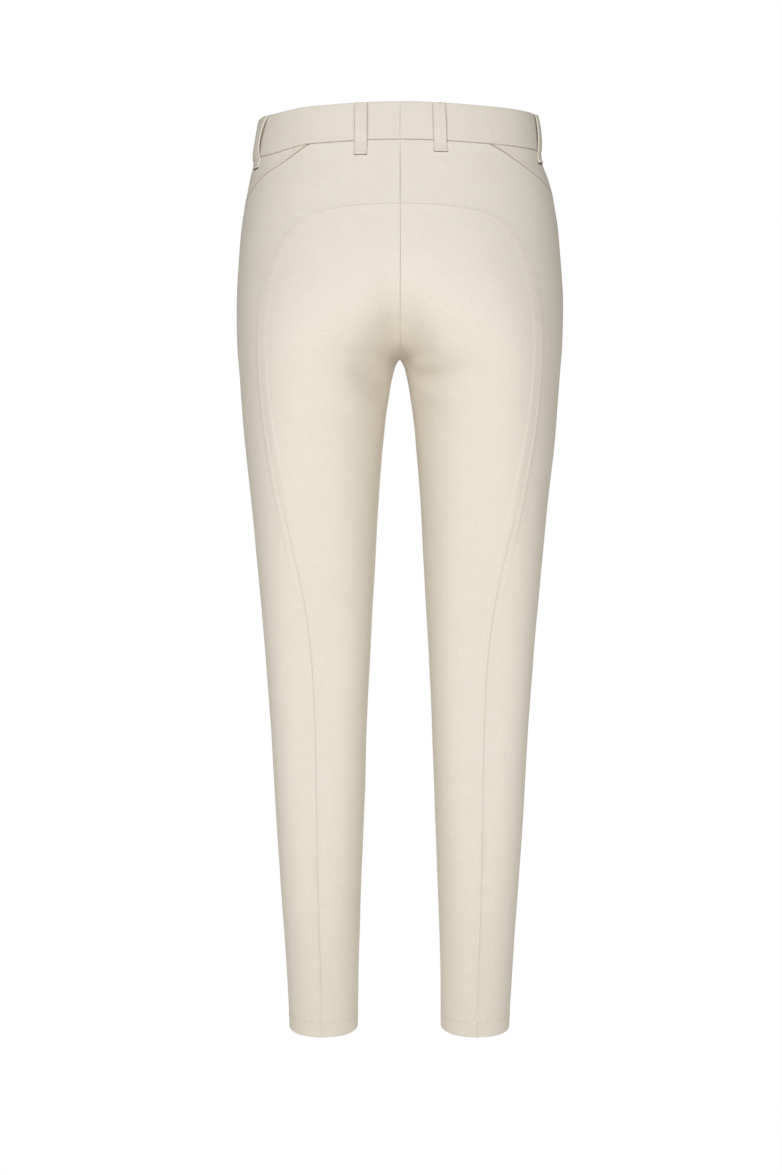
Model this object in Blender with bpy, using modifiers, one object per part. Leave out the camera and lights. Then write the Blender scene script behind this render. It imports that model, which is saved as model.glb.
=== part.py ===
# Full-seat riding breeches, filled out as worn and empty inside.
#
# Metres, +Z up. The origin is the centre of the waist opening, the wearer faces +Y and the
# wearer's right side is +X. Each half is one smooth surface, worked out from level sections.
# A place on it is a spot: an angle round the section's centre and a height. The pieces are
# patches of that surface between the seams, each with a wall of its own.

import bisect
import math
from collections import namedtuple

import bpy
import bmesh
from mathutils import Vector

NAME = "riding_breeches"

# Cloth and seams
CLOTH = 0.0015
BAND_CLOTH = 0.0025
LOOP_CLOTH = 0.0016
SEAM_GAP = 0.0003
SEAM_STRIP = 0.008  # first column or row beside a seam

# Heights, down from the top of the waistband
BAND_BOTTOM = -0.0375
CROTCH = -0.2485
HEM = -0.957
FRONT_YOKE_LEVEL = -0.120  # where the arch's level meets the centre front
SEAM_AT_CROTCH_ROW = -0.280

# Level sections of the right half, a rounded loop round one leg. Above the crotch the loop
# passes the centre plane and is cut there. Columns: height, outer and inner reach across,
# back and front reach, how widely the cloth bridges the centre plane, and the power of the
# loop, 2 for an ellipse and more for a squarer one.
Section = namedtuple("Section", "height outer inner back front bridge power")
SECTIONS = (
    Section(0.002, 0.1395, -0.1395, -0.0965, 0.0950, 0.000, 2.50),
    Section(-0.0375, 0.1443, -0.1443, -0.1035, 0.1000, 0.000, 2.50),
    Section(-0.052, 0.1466, -0.1466, -0.1075, 0.1017, 0.001, 2.46),
    Section(-0.065, 0.1518, -0.1440, -0.1115, 0.1030, 0.004, 2.38),
    Section(-0.100, 0.1603, -0.1320, -0.1225, 0.1055, 0.014, 2.22),
    Section(-0.150, 0.1673, -0.0930, -0.1345, 0.1060, 0.028, 2.15),
    Section(-0.190, 0.1700, -0.0510, -0.1375, 0.1035, 0.030, 2.15),
    Section(-0.218, 0.1692, -0.0165, -0.1340, 0.1005, 0.025, 2.15),
    Section(-0.236, 0.1678, -0.0015, -0.1295, 0.0990, 0.0175, 2.15),
    Section(-0.2485, 0.1665, 0.0076, -0.1256, 0.0981, 0.0076, 2.15),
    Section(-0.2565, 0.1660, 0.0109, -0.1231, 0.0974, 0.00941, 2.15),
    Section(-0.264, 0.1656, 0.0132, -0.1208, 0.0968, 0.01076, 2.15),
    Section(-0.290, 0.1642, 0.0168, -0.1140, 0.0950, 0.0111, 2.15),
    Section(-0.335, 0.1610, 0.0194, -0.1040, 0.0915, 0.008, 2.28),
    Section(-0.400, 0.1542, 0.0233, -0.0920, 0.0850, 0.004, 2.50),
    Section(-0.470, 0.1481, 0.0267, -0.0790, 0.0755, 0.000, 2.70),
    Section(-0.543, 0.1423, 0.0309, -0.0655, 0.0610, 0.000, 2.80),
    Section(-0.620, 0.1363, 0.0348, -0.0665, 0.0490, 0.000, 2.80),
    Section(-0.710, 0.1308, 0.0377, -0.0755, 0.0360, 0.000, 2.75),
    Section(-0.800, 0.1253, 0.0413, -0.0755, 0.0250, 0.000, 2.55),
    Section(-0.880, 0.1202, 0.0440, -0.0700, 0.0185, 0.000, 2.35),
    Section(-0.957, 0.1167, 0.0454, -0.0645, 0.0150, 0.000, 2.25),
)

# The seat panel's seam, from the centre back over the arch and down to the hem.
SeamPoint = namedtuple("SeamPoint", "across height")
SEAT_SEAM = (
    SeamPoint(0.0000, -0.1012),
    SeamPoint(0.0300, -0.1020),
    SeamPoint(0.0600, -0.1048),
    SeamPoint(0.0860, -0.1105),
    SeamPoint(0.1050, -0.1240),
    SeamPoint(0.1146, -0.1370),
    SeamPoint(0.1225, -0.1520),
    SeamPoint(0.1288, -0.1720),
    SeamPoint(0.1338, -0.1960),
    SeamPoint(0.1363, -0.2220),
    SeamPoint(0.1368, -0.2530),
    SeamPoint(0.1349, -0.2900),
    SeamPoint(0.1293, -0.3330),
    SeamPoint(0.1202, -0.3850),
    SeamPoint(0.1070, -0.4470),
    SeamPoint(0.0964, -0.5030),
    SeamPoint(0.0908, -0.5550),
    SeamPoint(0.0873, -0.6250),
    SeamPoint(0.0857, -0.7100),
    SeamPoint(0.0848, -0.7900),
    SeamPoint(0.0828, -0.8700),
    SeamPoint(0.0812, -0.9570),
)
ARCH_CORNER = 4  # the row of SEAT_SEAM where the arch turns down the leg

# The waist is cut a little lower towards the sides and the front than at the back.
WaistDip = namedtuple("WaistDip", "angle dip")
WAIST_DIPS = (
    WaistDip(-90.0, 0.0000),
    WaistDip(-84.0, 0.0000),
    WaistDip(-66.0, 0.0010),
    WaistDip(-46.0, 0.0026),
    WaistDip(10.0, 0.0030),
    WaistDip(50.0, 0.0062),
    WaistDip(90.0, 0.0100),
)

# The scooped seam of the hip yoke: angle from the side, minus towards the back, and how far
# it lies below the waistband's seam.
YokePoint = namedtuple("YokePoint", "angle below")
YOKE_SEAM = (
    YokePoint(-45.2, 0.0000),
    YokePoint(-39.2, 0.0066),
    YokePoint(-31.2, 0.0180),
    YokePoint(-20.8, 0.0312),
    YokePoint(-10.0, 0.0402),
    YokePoint(3.0, 0.0440),
    YokePoint(16.0, 0.0415),
    YokePoint(28.0, 0.0310),
    YokePoint(38.0, 0.0155),
    YokePoint(46.0, 0.0000),
)

# The left hip is filled out more than the right, most of all just under the waistband.
HIP_OUT = 0.0054
HIP_HEIGHT = -0.038
HIP_FADE_ABOVE = 0.050
HIP_FADE_BELOW = 0.024

# The centre back is drawn in towards the crotch, where the seat curves under.
HOLLOW_IN = 0.0170
HOLLOW_WIDE = 0.023
HOLLOW_TOP = -0.142
HOLLOW_DEEPEST = -0.272
HOLLOW_GONE = -0.385

# The band's seam hangs a little lower behind the left hip, and the yoke's seam below it.
WAIST_DROP = 0.0066
WAIST_DROP_FROM = 0.088
WAIST_DROP_HEIGHT = -0.044
WAIST_DROP_ABOVE = 0.050
WAIST_DROP_BELOW = 0.016
YOKE_DROP = 0.0090
YOKE_DROP_FROM = 0.134
YOKE_DROP_HEIGHT = -0.090
YOKE_DROP_FADE = 0.035

INSEAM_ANGLE = 155.0  # the inseam runs down the inner front of the leg
INSEAM_TURN = 0.120  # how far below the crotch it takes to get there

# Columns and rows of the patches
BACK_COLUMNS = 8
YOKE_COLUMNS = 11
FRONT_COLUMNS = 7
ARCH_ROWS = 5
RISE_ROWS = 10
LEG_ROWS = 18
YOKE_ROWS = 3
BAND_ROWS = 2

# How the rows close up towards one end, as powers of the way along (1 is even)
CLOSER_AT_CROTCH = 2.2
CLOSER_DOWN_INSEAM = 1.25
CLOSER_DOWN_SEAM = 1.1
ARCH_DROP = 3.5  # how late the seat panel's top rows turn down to the seam

# Waistband closure: the wearer's right laps over the left at the front
OVERLAP_PAST_CENTRE = 0.005
UNDERLAP = 0.034
UNDERLAP_STEP = BAND_CLOTH + SEAM_GAP
RAMP_START = 0.012  # how far from the centre the left half starts to step in
RAMP_END = 0.006

# Belt loops: width, and from the top of the band to a foot on the panel below it
LOOP_WIDTH = 0.0125
LOOP_TOP = -0.0008
LOOP_FOOT = -0.0525
LOOP_ROWS = 9
LOOP_BACK_ACROSS = 0.0385
LOOP_SIDE_ANGLES = {1: (-13.5, -16.0), -1: (-19.9, -16.4)}  # top and foot, right and left
LOOP_FRONT_ACROSS = 0.0850
LOOP_BOW = {"back": 0.0018, "side": 0.0030, "front": 0.0018}
LOOP_FULLNESS = 0.7  # power of the bow's sine, less than 1 for a fuller bow

# Waistband button
BUTTON_RADIUS = 0.0085
BUTTON_THICK = 0.0030
BUTTON_ROUND = 0.0008
BUTTON_ACROSS = 0.0100
BUTTON_HEIGHT = -0.0185
BUTTON_SIDES = 20

CREAM = (0.80, 0.745, 0.645, 1.0)
CREAM_SEAT = (0.80, 0.745, 0.65, 1.0)
CREAM_BUTTON = (0.72, 0.66, 0.55, 1.0)
TWILL_ROUGHNESS = 0.78
TWILL_SHEEN = 0.25
SEAT_ROUGHNESS = 0.72
SEAT_SHEEN = 0.30
RESIN_ROUGHNESS = 0.35


def smooth_curve(places, values):
    """A function that runs smoothly through the values, given in rising order of place."""
    steps = []
    for i in range(len(places) - 1):
        steps.append((values[i + 1] - values[i]) / (places[i + 1] - places[i]))
    slopes = [steps[0]]
    for i in range(1, len(places) - 1):
        before = places[i] - places[i - 1]
        after = places[i + 1] - places[i]
        slopes.append((steps[i - 1] * after + steps[i] * before) / (before + after))
    slopes.append(steps[-1])

    def at(place):
        place = min(max(place, places[0]), places[-1])
        i = min(bisect.bisect_right(places, place) - 1, len(places) - 2)
        width = places[i + 1] - places[i]
        t = (place - places[i]) / width
        start = values[i] * (1 + 2 * t) * (1 - t) ** 2
        end = values[i + 1] * t * t * (3 - 2 * t)
        bend = width * (slopes[i] * t * (1 - t) ** 2 - slopes[i + 1] * t * t * (1 - t))
        return start + end + bend

    return at


def column_curve(table, place, value):
    """The smooth curve of one named column against another, whichever way its rows run."""
    rows = sorted(table, key=lambda row: getattr(row, place))
    return smooth_curve(
        [getattr(row, place) for row in rows], [getattr(row, value) for row in rows]
    )


def mix(a, b, t):
    return a + (b - a) * t


def ease(t):
    t = min(max(t, 0.0), 1.0)
    return t * t * (3 - 2 * t)


READ = {
    name: column_curve(SECTIONS, "height", name) for name in Section._fields if name != "height"
}
YOKE_BELOW = column_curve(YOKE_SEAM, "angle", "below")
WAIST_DIP = column_curve(WAIST_DIPS, "angle", "dip")


def loop_at(height):
    """Centre, half width, half depth, power and bridge of the section at a height."""
    outer, inner = READ["outer"](height), READ["inner"](height)
    back, front = READ["back"](height), READ["front"](height)
    bridge = max(READ["bridge"](height), 0.0)
    centre = Vector(((outer + inner) / 2, (back + front) / 2))
    return centre, (outer - inner) / 2, (front - back) / 2, READ["power"](height), bridge


def surface(angle, height):
    """The point of the right half at an angle round its section's centre."""
    centre, wide, deep, power, bridge = loop_at(height)
    cos, sin = math.cos(math.radians(angle)), math.sin(math.radians(angle))
    reach = (abs(cos / wide) ** power + abs(sin / deep) ** power) ** (-1 / power)
    across = centre.x + reach * cos
    flat = math.sqrt(max(across * across - bridge * bridge, 0.0))
    return Vector((math.copysign(flat, across), centre.y + reach * sin, height))


def outward(angle, height):
    """The surface's unit normal, pointing out of the garment."""
    turn, rise = 0.5, 0.0005
    round_it = surface(angle + turn, height) - surface(angle - turn, height)
    up_it = surface(angle, height + rise) - surface(angle, height - rise)
    return round_it.cross(up_it).normalized()


def place(spot, out=0.0):
    """The point of a spot, moved out of the surface by a distance."""
    point = surface(*spot)
    if out:
        point += outward(*spot) * out
    return point


def angle_across(across, height, side):
    """The angle of the point that lies this far across, on the back (-1) or front (1)."""
    centre, wide, deep, power, bridge = loop_at(height)
    sideways = math.hypot(across, bridge) - centre.x
    inside = max(1 - min(abs(sideways) / wide, 1.0) ** power, 0.0)
    return math.degrees(math.atan2(side * deep * inside ** (1 / power), sideways))


def inner_angle(height, side):
    """The angle of the centre seam, and of the inseam below the crotch."""
    if height >= CROTCH:
        return side * abs(angle_across(0.0, height, side))
    turned = mix(180.0, INSEAM_ANGLE, ease((CROTCH - height) / INSEAM_TURN))
    return turned if side > 0 else turned - 360.0


def seam_lengths():
    lengths = [0.0]
    for a, b in zip(SEAT_SEAM, SEAT_SEAM[1:]):
        lengths.append(lengths[-1] + math.hypot(b.across - a.across, b.height - a.height))
    return lengths


SEAM_LENGTHS = seam_lengths()
SEAM_ACROSS = smooth_curve(SEAM_LENGTHS, [p.across for p in SEAT_SEAM])
SEAM_HEIGHT = smooth_curve(SEAM_LENGTHS, [p.height for p in SEAT_SEAM])
CORNER_LENGTH = SEAM_LENGTHS[ARCH_CORNER]


def seam_spot(length):
    """The seat seam's spot at a length from the centre back."""
    across, height = SEAM_ACROSS(length), SEAM_HEIGHT(length)
    return angle_across(across, height, -1), height


def seam_length_at(height):
    """The length of the seat seam, past the corner, down to a height."""
    low, high = CORNER_LENGTH, SEAM_LENGTHS[-1]
    for _ in range(40):
        middle = (low + high) / 2
        if SEAM_HEIGHT(middle) > height:
            low = middle
        else:
            high = middle
    return low


def spread(path, columns, strips=1.0):
    """Spots along a path, evenly apart but for a narrow strip at each end (0 for none)."""
    samples = 48
    points = [place(path(i / samples)) for i in range(samples + 1)]
    run = [0.0]
    for a, b in zip(points, points[1:]):
        run.append(run[-1] + (b - a).length)
    strip = min(SEAM_STRIP, run[-1] / columns)
    spots = []
    for c in range(columns + 1):
        wanted = run[-1] * c / columns
        if 0 < c < columns:
            wanted = mix(wanted, mix(strip, run[-1] - strip, (c - 1) / (columns - 2)), strips)
        i = min(max(bisect.bisect_right(run, wanted) - 1, 0), samples - 1)
        spots.append(path((i + (wanted - run[i]) / (run[i + 1] - run[i])) / samples))
    return spots


def inner_heights(top):
    """Heights of the rows at the centre seam, then down the inseam to the hem."""
    heights = []
    for r in range(RISE_ROWS + 1):
        heights.append(mix(CROTCH, top, (1 - r / RISE_ROWS) ** CLOSER_AT_CROTCH))
    for r in range(1, LEG_ROWS + 1):
        heights.append(mix(CROTCH, HEM, (r / LEG_ROWS) ** CLOSER_DOWN_INSEAM))
    return heights


def seam_heights():
    """Heights of the same rows where they cross the seat seam."""
    top = SEAT_SEAM[ARCH_CORNER].height
    heights = [mix(top, SEAM_AT_CROTCH_ROW, r / RISE_ROWS) for r in range(RISE_ROWS + 1)]
    for r in range(1, LEG_ROWS + 1):
        heights.append(mix(SEAM_AT_CROTCH_ROW, HEM, (r / LEG_ROWS) ** CLOSER_DOWN_SEAM))
    return heights


def arch_row():
    """The seat seam over the arch, from the centre back to the corner."""
    return spread(lambda t: seam_spot(t * CORNER_LENGTH), BACK_COLUMNS, strips=0.0)


def full_seat_rows():
    """Rows of the seat panel, each from the centre seam or inseam out to the seat seam."""
    rows = [arch_row()]
    inner, outer = inner_heights(SEAT_SEAM[0].height), seam_heights()
    for r in range(1, RISE_ROWS + LEG_ROWS + 1):
        start = (inner_angle(inner[r], -1), inner[r])
        end = seam_spot(seam_length_at(outer[r]))
        arched = max(1 - r / RISE_ROWS, 0.0)

        def path(t, start=start, end=end, arched=arched):
            drop = mix(ease(t), t**ARCH_DROP, arched)
            return mix(start[0], end[0], t), mix(start[1], end[1], drop)

        rows.append(spread(path, BACK_COLUMNS, strips=1.0 - arched))
    return rows


def outer_leg_rows():
    """Rows of the outer panel below the arch, from the seat seam round to the front."""
    rows = []
    inner, outer = inner_heights(FRONT_YOKE_LEVEL), seam_heights()
    for r in range(RISE_ROWS + LEG_ROWS + 1):
        start = seam_spot(seam_length_at(outer[r]))
        end = (inner_angle(inner[r], 1), inner[r])

        def path(t, start=start, end=end):
            return mix(start[0], end[0], t), mix(start[1], end[1], ease(t))

        rows.append(spread(path, YOKE_COLUMNS + FRONT_COLUMNS))
    return rows


def band_seam(angle):
    """Height of the seam under the waistband."""
    return BAND_BOTTOM - WAIST_DIP(angle)


def waist_row():
    """The top edge of the outer panel: the band seam, the yoke seam and the band again."""
    back_end, front_end = YOKE_SEAM[0].angle, YOKE_SEAM[-1].angle
    row = []
    for start, end, columns in (
        (-90.0, back_end, BACK_COLUMNS),
        (back_end, front_end, YOKE_COLUMNS),
        (front_end, 90.0, FRONT_COLUMNS),
    ):

        def path(t, start=start, end=end):
            angle = mix(start, end, t)
            return angle, band_seam(angle) - YOKE_BELOW(angle)

        spots = spread(path, columns, strips=0.0)
        row += spots[1:] if row else spots
    return row


def hip_rows(below):
    """Rows of the outer panel above the arch, down to the arch and the row beside it."""
    top = waist_row()
    bottom = arch_row() + below[1:]
    rows = []
    for r in range(ARCH_ROWS):
        rows.append(
            [
                (mix(a[0], b[0], r / ARCH_ROWS), mix(a[1], b[1], r / ARCH_ROWS))
                for a, b in zip(top, bottom)
            ]
        )
    rows.append(bottom)
    return rows


def yoke_rows():
    """Rows of the hip yoke, from the band seam down to its scooped seam."""
    seam = waist_row()[BACK_COLUMNS : BACK_COLUMNS + YOKE_COLUMNS + 1]
    rows = []
    for r in range(YOKE_ROWS + 1):
        rows.append([(angle, mix(band_seam(angle), low, r / YOKE_ROWS)) for angle, low in seam])
    return rows


def on_side(point, side):
    """A point of the right half, with the seat's hollow, on the side where it belongs."""
    x, y, z = point
    hollow = ease((HOLLOW_TOP - z) / (HOLLOW_TOP - HOLLOW_DEEPEST))
    hollow *= ease((z - HOLLOW_GONE) / (HOLLOW_DEEPEST - HOLLOW_GONE))
    hollow *= math.exp(-((x / HOLLOW_WIDE) ** 2)) * ease((-y - 0.015) / 0.05)
    if side < 0:
        up = z - WAIST_DROP_HEIGHT
        near = math.exp(-((up / (WAIST_DROP_ABOVE if up > 0 else WAIST_DROP_BELOW)) ** 2))
        low = WAIST_DROP * near * ease((x - WAIST_DROP_FROM) / 0.045)
        near = math.exp(-(((z - YOKE_DROP_HEIGHT) / YOKE_DROP_FADE) ** 2))
        low += YOKE_DROP * near * ease((x - YOKE_DROP_FROM) / 0.022)
        low *= ease((0.04 - y) / 0.06)
        x += READ["outer"](z - low) - READ["outer"](z)
        z -= low
        up = z - HIP_HEIGHT
        level = math.exp(-((up / (HIP_FADE_ABOVE if up > 0 else HIP_FADE_BELOW)) ** 2))
        outer = ease((x - 0.04) / 0.09) * math.exp(-(((y + 0.01) / 0.06) ** 2))
        x += HIP_OUT * level * outer
    return Vector((x * side, y + HOLLOW_IN * hollow, z))


def plain_material(name, colour, roughness, sheen):
    material = bpy.data.materials.new(name)
    material.use_nodes = True
    shader = material.node_tree.nodes["Principled BSDF"]
    shader.inputs["Base Color"].default_value = colour
    shader.inputs["Metallic"].default_value = 0.0
    shader.inputs["Roughness"].default_value = roughness
    shader.inputs["Sheen Weight"].default_value = sheen
    return material


def trim(mesh, amount):
    """Moves the open edge in by an amount, so that pieces which share a seam don't touch."""
    pull = {}
    for edge in mesh.edges:
        if not edge.is_boundary:
            continue
        face = edge.link_faces[0]
        a, b = edge.verts
        inward = face.normal.cross(b.co - a.co).normalized()
        if inward.dot(face.calc_center_median() - (a.co + b.co) / 2) < 0:
            inward.negate()
        for vert in (a, b):
            pull.setdefault(vert, []).append(inward)
    for vert, ways in pull.items():
        total = sum(ways, Vector())
        vert.co += total * (amount * len(ways) / max(total.length_squared, 0.3))


def clear_centre(mesh, side, wall, laps):
    """Keeps the wall on its own side of the centre plane, but for a front that laps over it."""
    mesh.normal_update()
    for vert in mesh.verts:
        if laps and vert.co.y > 0:
            continue
        least = SEAM_GAP / 2 + wall / 2 * abs(vert.normal.x)
        if side * vert.co.x < least:
            vert.co.x = side * least


def add_patch(mesh, rows):
    """Adds the quads between rows of points, all in one order, and returns the vertices."""
    verts = [[mesh.verts.new(point) for point in row] for row in rows]
    for upper, lower in zip(verts, verts[1:]):
        for c in range(len(upper) - 1):
            mesh.faces.new((upper[c], lower[c], lower[c + 1], upper[c + 1]))
    return verts


def cloth_piece(name, patches, side, material, wall, collection, laps=False):
    """A sewn piece: patches of the right half's surface, mirrored for the left, with a wall."""
    mesh = bmesh.new()
    for rows in patches:
        add_patch(mesh, [[on_side(point, side) for point in row] for row in rows])
    bmesh.ops.remove_doubles(mesh, verts=mesh.verts, dist=1e-6)
    if side < 0:
        bmesh.ops.reverse_faces(mesh, faces=mesh.faces)
    mesh.normal_update()
    trim(mesh, SEAM_GAP / 2)
    clear_centre(mesh, side, wall, laps)
    data = bpy.data.meshes.new(name)
    mesh.to_mesh(data)
    mesh.free()
    data.shade_smooth()
    data.materials.append(material)
    piece = bpy.data.objects.new(name, data)
    collection.objects.link(piece)
    thicken = piece.modifiers.new("Wall", "SOLIDIFY")
    thicken.thickness = wall
    thicken.offset = 0.0
    return piece


def as_points(rows):
    return [[place(spot) for spot in row] for row in rows]


def build_panels(side, label, collection):
    """One half's outer leg, seat panel and hip yoke."""
    leg = outer_leg_rows()
    hip = hip_rows(leg[0])
    outer = [as_points(hip), as_points(leg)]
    cloth = plain_material("stretch_twill_" + label, CREAM, TWILL_ROUGHNESS, TWILL_SHEEN)
    cloth_piece("outer_leg_" + label, outer, side, cloth, CLOTH, collection)
    seat_rows = as_points(full_seat_rows())
    seat = plain_material("seat_cloth_" + label, CREAM_SEAT, SEAT_ROUGHNESS, SEAT_SHEEN)
    cloth_piece("full_seat_" + label, [seat_rows], side, seat, CLOTH, collection)
    yoke = plain_material("yoke_twill_" + label, CREAM, TWILL_ROUGHNESS, TWILL_SHEEN)
    cloth_piece("hip_yoke_" + label, [as_points(yoke_rows())], side, yoke, CLOTH, collection)


def front_angle(across):
    """The angle at the band's front this far from the centre, minus on the other half."""
    angle = angle_across(abs(across), 0.0, 1)
    return angle if across >= 0 else 180.0 - angle


def band_angles(side):
    """Angles of the band's columns, from the centre back to its front end."""
    angles = [angle for angle, _ in waist_row()]
    if side > 0:
        return angles + [front_angle(-OVERLAP_PAST_CENTRE)]
    under = (RAMP_START, RAMP_END, -UNDERLAP / 3, -UNDERLAP * 2 / 3, -UNDERLAP)
    clear_of_ramp = RAMP_START + (RAMP_START - RAMP_END) / 2
    angles = [angle for angle in angles if angle < 0 or surface(angle, 0.0).x > clear_of_ramp]
    return angles + [front_angle(across) for across in under]


def build_band(side, label, collection):
    """One half of the waistband. The left half steps in at the front, under the right."""
    rows = []
    for r in range(BAND_ROWS + 1):
        row = []
        for angle in band_angles(side):
            height = mix(0.0, BAND_BOTTOM, r / BAND_ROWS) - WAIST_DIP(min(angle, 180.0 - angle))
            across = surface(angle, height).x
            under = ease((RAMP_START - across) / (RAMP_START - RAMP_END))
            step = UNDERLAP_STEP * under if side < 0 and angle > 0 else 0.0
            row.append(place((angle, height), -step))
        rows.append(row)
    material = plain_material("band_twill_" + label, CREAM, TWILL_ROUGHNESS, TWILL_SHEEN)
    cloth_piece("waistband_" + label, [rows], side, material, BAND_CLOTH, collection, laps=True)


def loop_angle(kind, height, side):
    """Where a loop's middle lies at this height. The side loops are sewn on a little askew."""
    if kind == "side":
        return mix(*LOOP_SIDE_ANGLES[side], (height - LOOP_TOP) / (LOOP_FOOT - LOOP_TOP))
    across, face = (LOOP_BACK_ACROSS, -1) if kind == "back" else (LOOP_FRONT_ACROSS, 1)
    return angle_across(across, height, face)


def build_loop(kind, side, label, collection):
    """A belt loop: a folded strip on the band, bowed out between its two stitched ends."""
    on_band = BAND_CLOTH / 2 + SEAM_GAP + LOOP_CLOTH / 2
    on_panel = CLOTH / 2 + SEAM_GAP + LOOP_CLOTH / 2
    free = (LOOP_TOP - BAND_BOTTOM) / (LOOP_TOP - LOOP_FOOT)
    rows = []
    for r in range(LOOP_ROWS + 1):
        t = r / LOOP_ROWS
        height = mix(LOOP_TOP, LOOP_FOOT, t)
        bow = LOOP_BOW[kind] * math.sin(math.pi * min(t / free, 1.0)) ** LOOP_FULLNESS
        out = mix(on_band, on_panel, ease((t - free) / (1 - free) * 2)) + bow
        middle = loop_angle(kind, height, side)
        height -= WAIST_DIP(middle)
        degree = (surface(middle + 0.5, height) - surface(middle - 0.5, height)).length
        row = []
        for edge in (-0.5, 0.0, 0.5):
            row.append(place((middle + edge * LOOP_WIDTH / degree, height), out))
        rows.append(row)
    tag = kind + "_" + label
    material = plain_material("loop_twill_" + tag, CREAM, TWILL_ROUGHNESS, TWILL_SHEEN)
    cloth_piece("belt_loop_" + tag, [rows], side, material, LOOP_CLOTH, collection)


def build_button(collection):
    """A flat round button that lies on the right end of the waistband."""
    angle = angle_across(BUTTON_ACROSS, BUTTON_HEIGHT, 1)
    spot = (angle, BUTTON_HEIGHT - WAIST_DIP(angle))
    out = BAND_CLOTH / 2 + SEAM_GAP * 2 + BUTTON_THICK / 2
    bpy.ops.mesh.primitive_cylinder_add(
        vertices=BUTTON_SIDES, radius=BUTTON_RADIUS, depth=BUTTON_THICK
    )
    button = bpy.context.object
    button.name = "waist_button"
    button.data.name = "waist_button"
    for owner in button.users_collection:
        owner.objects.unlink(button)
    collection.objects.link(button)
    button.location = place(spot, out)
    button.rotation_mode = "QUATERNION"
    button.rotation_quaternion = outward(*spot).to_track_quat("Z", "Y")
    rounding = button.modifiers.new("Rounded rim", "BEVEL")
    rounding.width = BUTTON_ROUND
    rounding.segments = 2
    button.data.shade_smooth()
    button.data.set_sharp_from_angle(angle=math.radians(50))
    resin = plain_material("button_resin", CREAM_BUTTON, RESIN_ROUGHNESS, 0.0)
    button.data.materials.append(resin)


def main():
    for old in list(bpy.data.objects):
        bpy.data.objects.remove(old, do_unlink=True)
    collection = bpy.data.collections.new(NAME)
    bpy.context.scene.collection.children.link(collection)
    for side, label in ((1, "right"), (-1, "left")):
        build_panels(side, label, collection)
        build_band(side, label, collection)
        for kind in LOOP_BOW:
            build_loop(kind, side, label, collection)
    build_button(collection)


main()
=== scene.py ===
# Full-seat riding breeches in cream stretch twill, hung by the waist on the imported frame.

import math

import bmesh
import bpy
import numpy as np
from mathutils import Matrix, Vector
from mathutils.kdtree import KDTree


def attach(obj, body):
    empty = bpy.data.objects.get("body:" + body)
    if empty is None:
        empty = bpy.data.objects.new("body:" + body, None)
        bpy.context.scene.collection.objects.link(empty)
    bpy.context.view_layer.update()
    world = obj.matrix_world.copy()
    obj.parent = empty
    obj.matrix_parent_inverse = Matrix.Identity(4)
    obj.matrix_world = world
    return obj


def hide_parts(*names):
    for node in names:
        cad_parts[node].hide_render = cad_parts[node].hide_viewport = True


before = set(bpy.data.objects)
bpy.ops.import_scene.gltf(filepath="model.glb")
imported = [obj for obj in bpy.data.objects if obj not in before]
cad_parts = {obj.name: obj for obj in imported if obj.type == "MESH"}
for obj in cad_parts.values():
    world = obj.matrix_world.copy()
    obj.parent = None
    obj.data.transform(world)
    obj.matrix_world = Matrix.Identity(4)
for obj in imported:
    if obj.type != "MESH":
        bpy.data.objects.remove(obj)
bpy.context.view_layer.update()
scene = bpy.context.scene
mm = 0.001

# Level sections of the right half, filled out: height, outer and inner reach across, back and
# front reach, how widely the cloth bridges the centre, and how square the loop is.
sections = [
    (0.002, 0.1395, -0.1395, -0.0965, 0.0950, 0.000, 2.50),
    (-0.0375, 0.1443, -0.1443, -0.1035, 0.1000, 0.000, 2.50),
    (-0.052, 0.1466, -0.1466, -0.1075, 0.1017, 0.001, 2.46),
    (-0.065, 0.1518, -0.1440, -0.1115, 0.1030, 0.004, 2.38),
    (-0.100, 0.1603, -0.1320, -0.1225, 0.1055, 0.014, 2.22),
    (-0.150, 0.1673, -0.0930, -0.1345, 0.1060, 0.028, 2.15),
    (-0.190, 0.1700, -0.0510, -0.1375, 0.1035, 0.030, 2.15),
    (-0.218, 0.1692, -0.0165, -0.1340, 0.1005, 0.025, 2.15),
    (-0.236, 0.1678, -0.0015, -0.1295, 0.0990, 0.0175, 2.15),
    (-0.2485, 0.1665, 0.0076, -0.1256, 0.0981, 0.0076, 2.15),
    (-0.2492, 0.16646, 0.00789, -0.1254, 0.09805, 0.00773, 2.15),
    (-0.2510, 0.16635, 0.0087, -0.1248, 0.0979, 0.00813, 2.15),
    (-0.2565, 0.1660, 0.0109, -0.1231, 0.0974, 0.00941, 2.15),
    (-0.264, 0.1656, 0.0132, -0.1208, 0.0968, 0.01076, 2.15),
    (-0.290, 0.1642, 0.0168, -0.1140, 0.0950, 0.0111, 2.15),
    (-0.335, 0.1610, 0.0194, -0.1040, 0.0915, 0.008, 2.28),
    (-0.400, 0.1542, 0.0233, -0.0920, 0.0850, 0.004, 2.50),
    (-0.470, 0.1481, 0.0267, -0.0790, 0.0755, 0.000, 2.70),
    (-0.543, 0.1423, 0.0309, -0.0655, 0.0610, 0.000, 2.80),
    (-0.620, 0.1363, 0.0348, -0.0665, 0.0490, 0.000, 2.80),
    (-0.710, 0.1308, 0.0377, -0.0755, 0.0360, 0.000, 2.75),
    (-0.800, 0.1253, 0.0413, -0.0755, 0.0250, 0.000, 2.55),
    (-0.880, 0.1202, 0.0440, -0.0700, 0.0185, 0.000, 2.35),
    (-0.957, 0.1167, 0.0454, -0.0645, 0.0150, 0.000, 2.25),
]
sectionNames = ("height", "outer", "inner", "back", "front", "bridge", "power")

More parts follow.
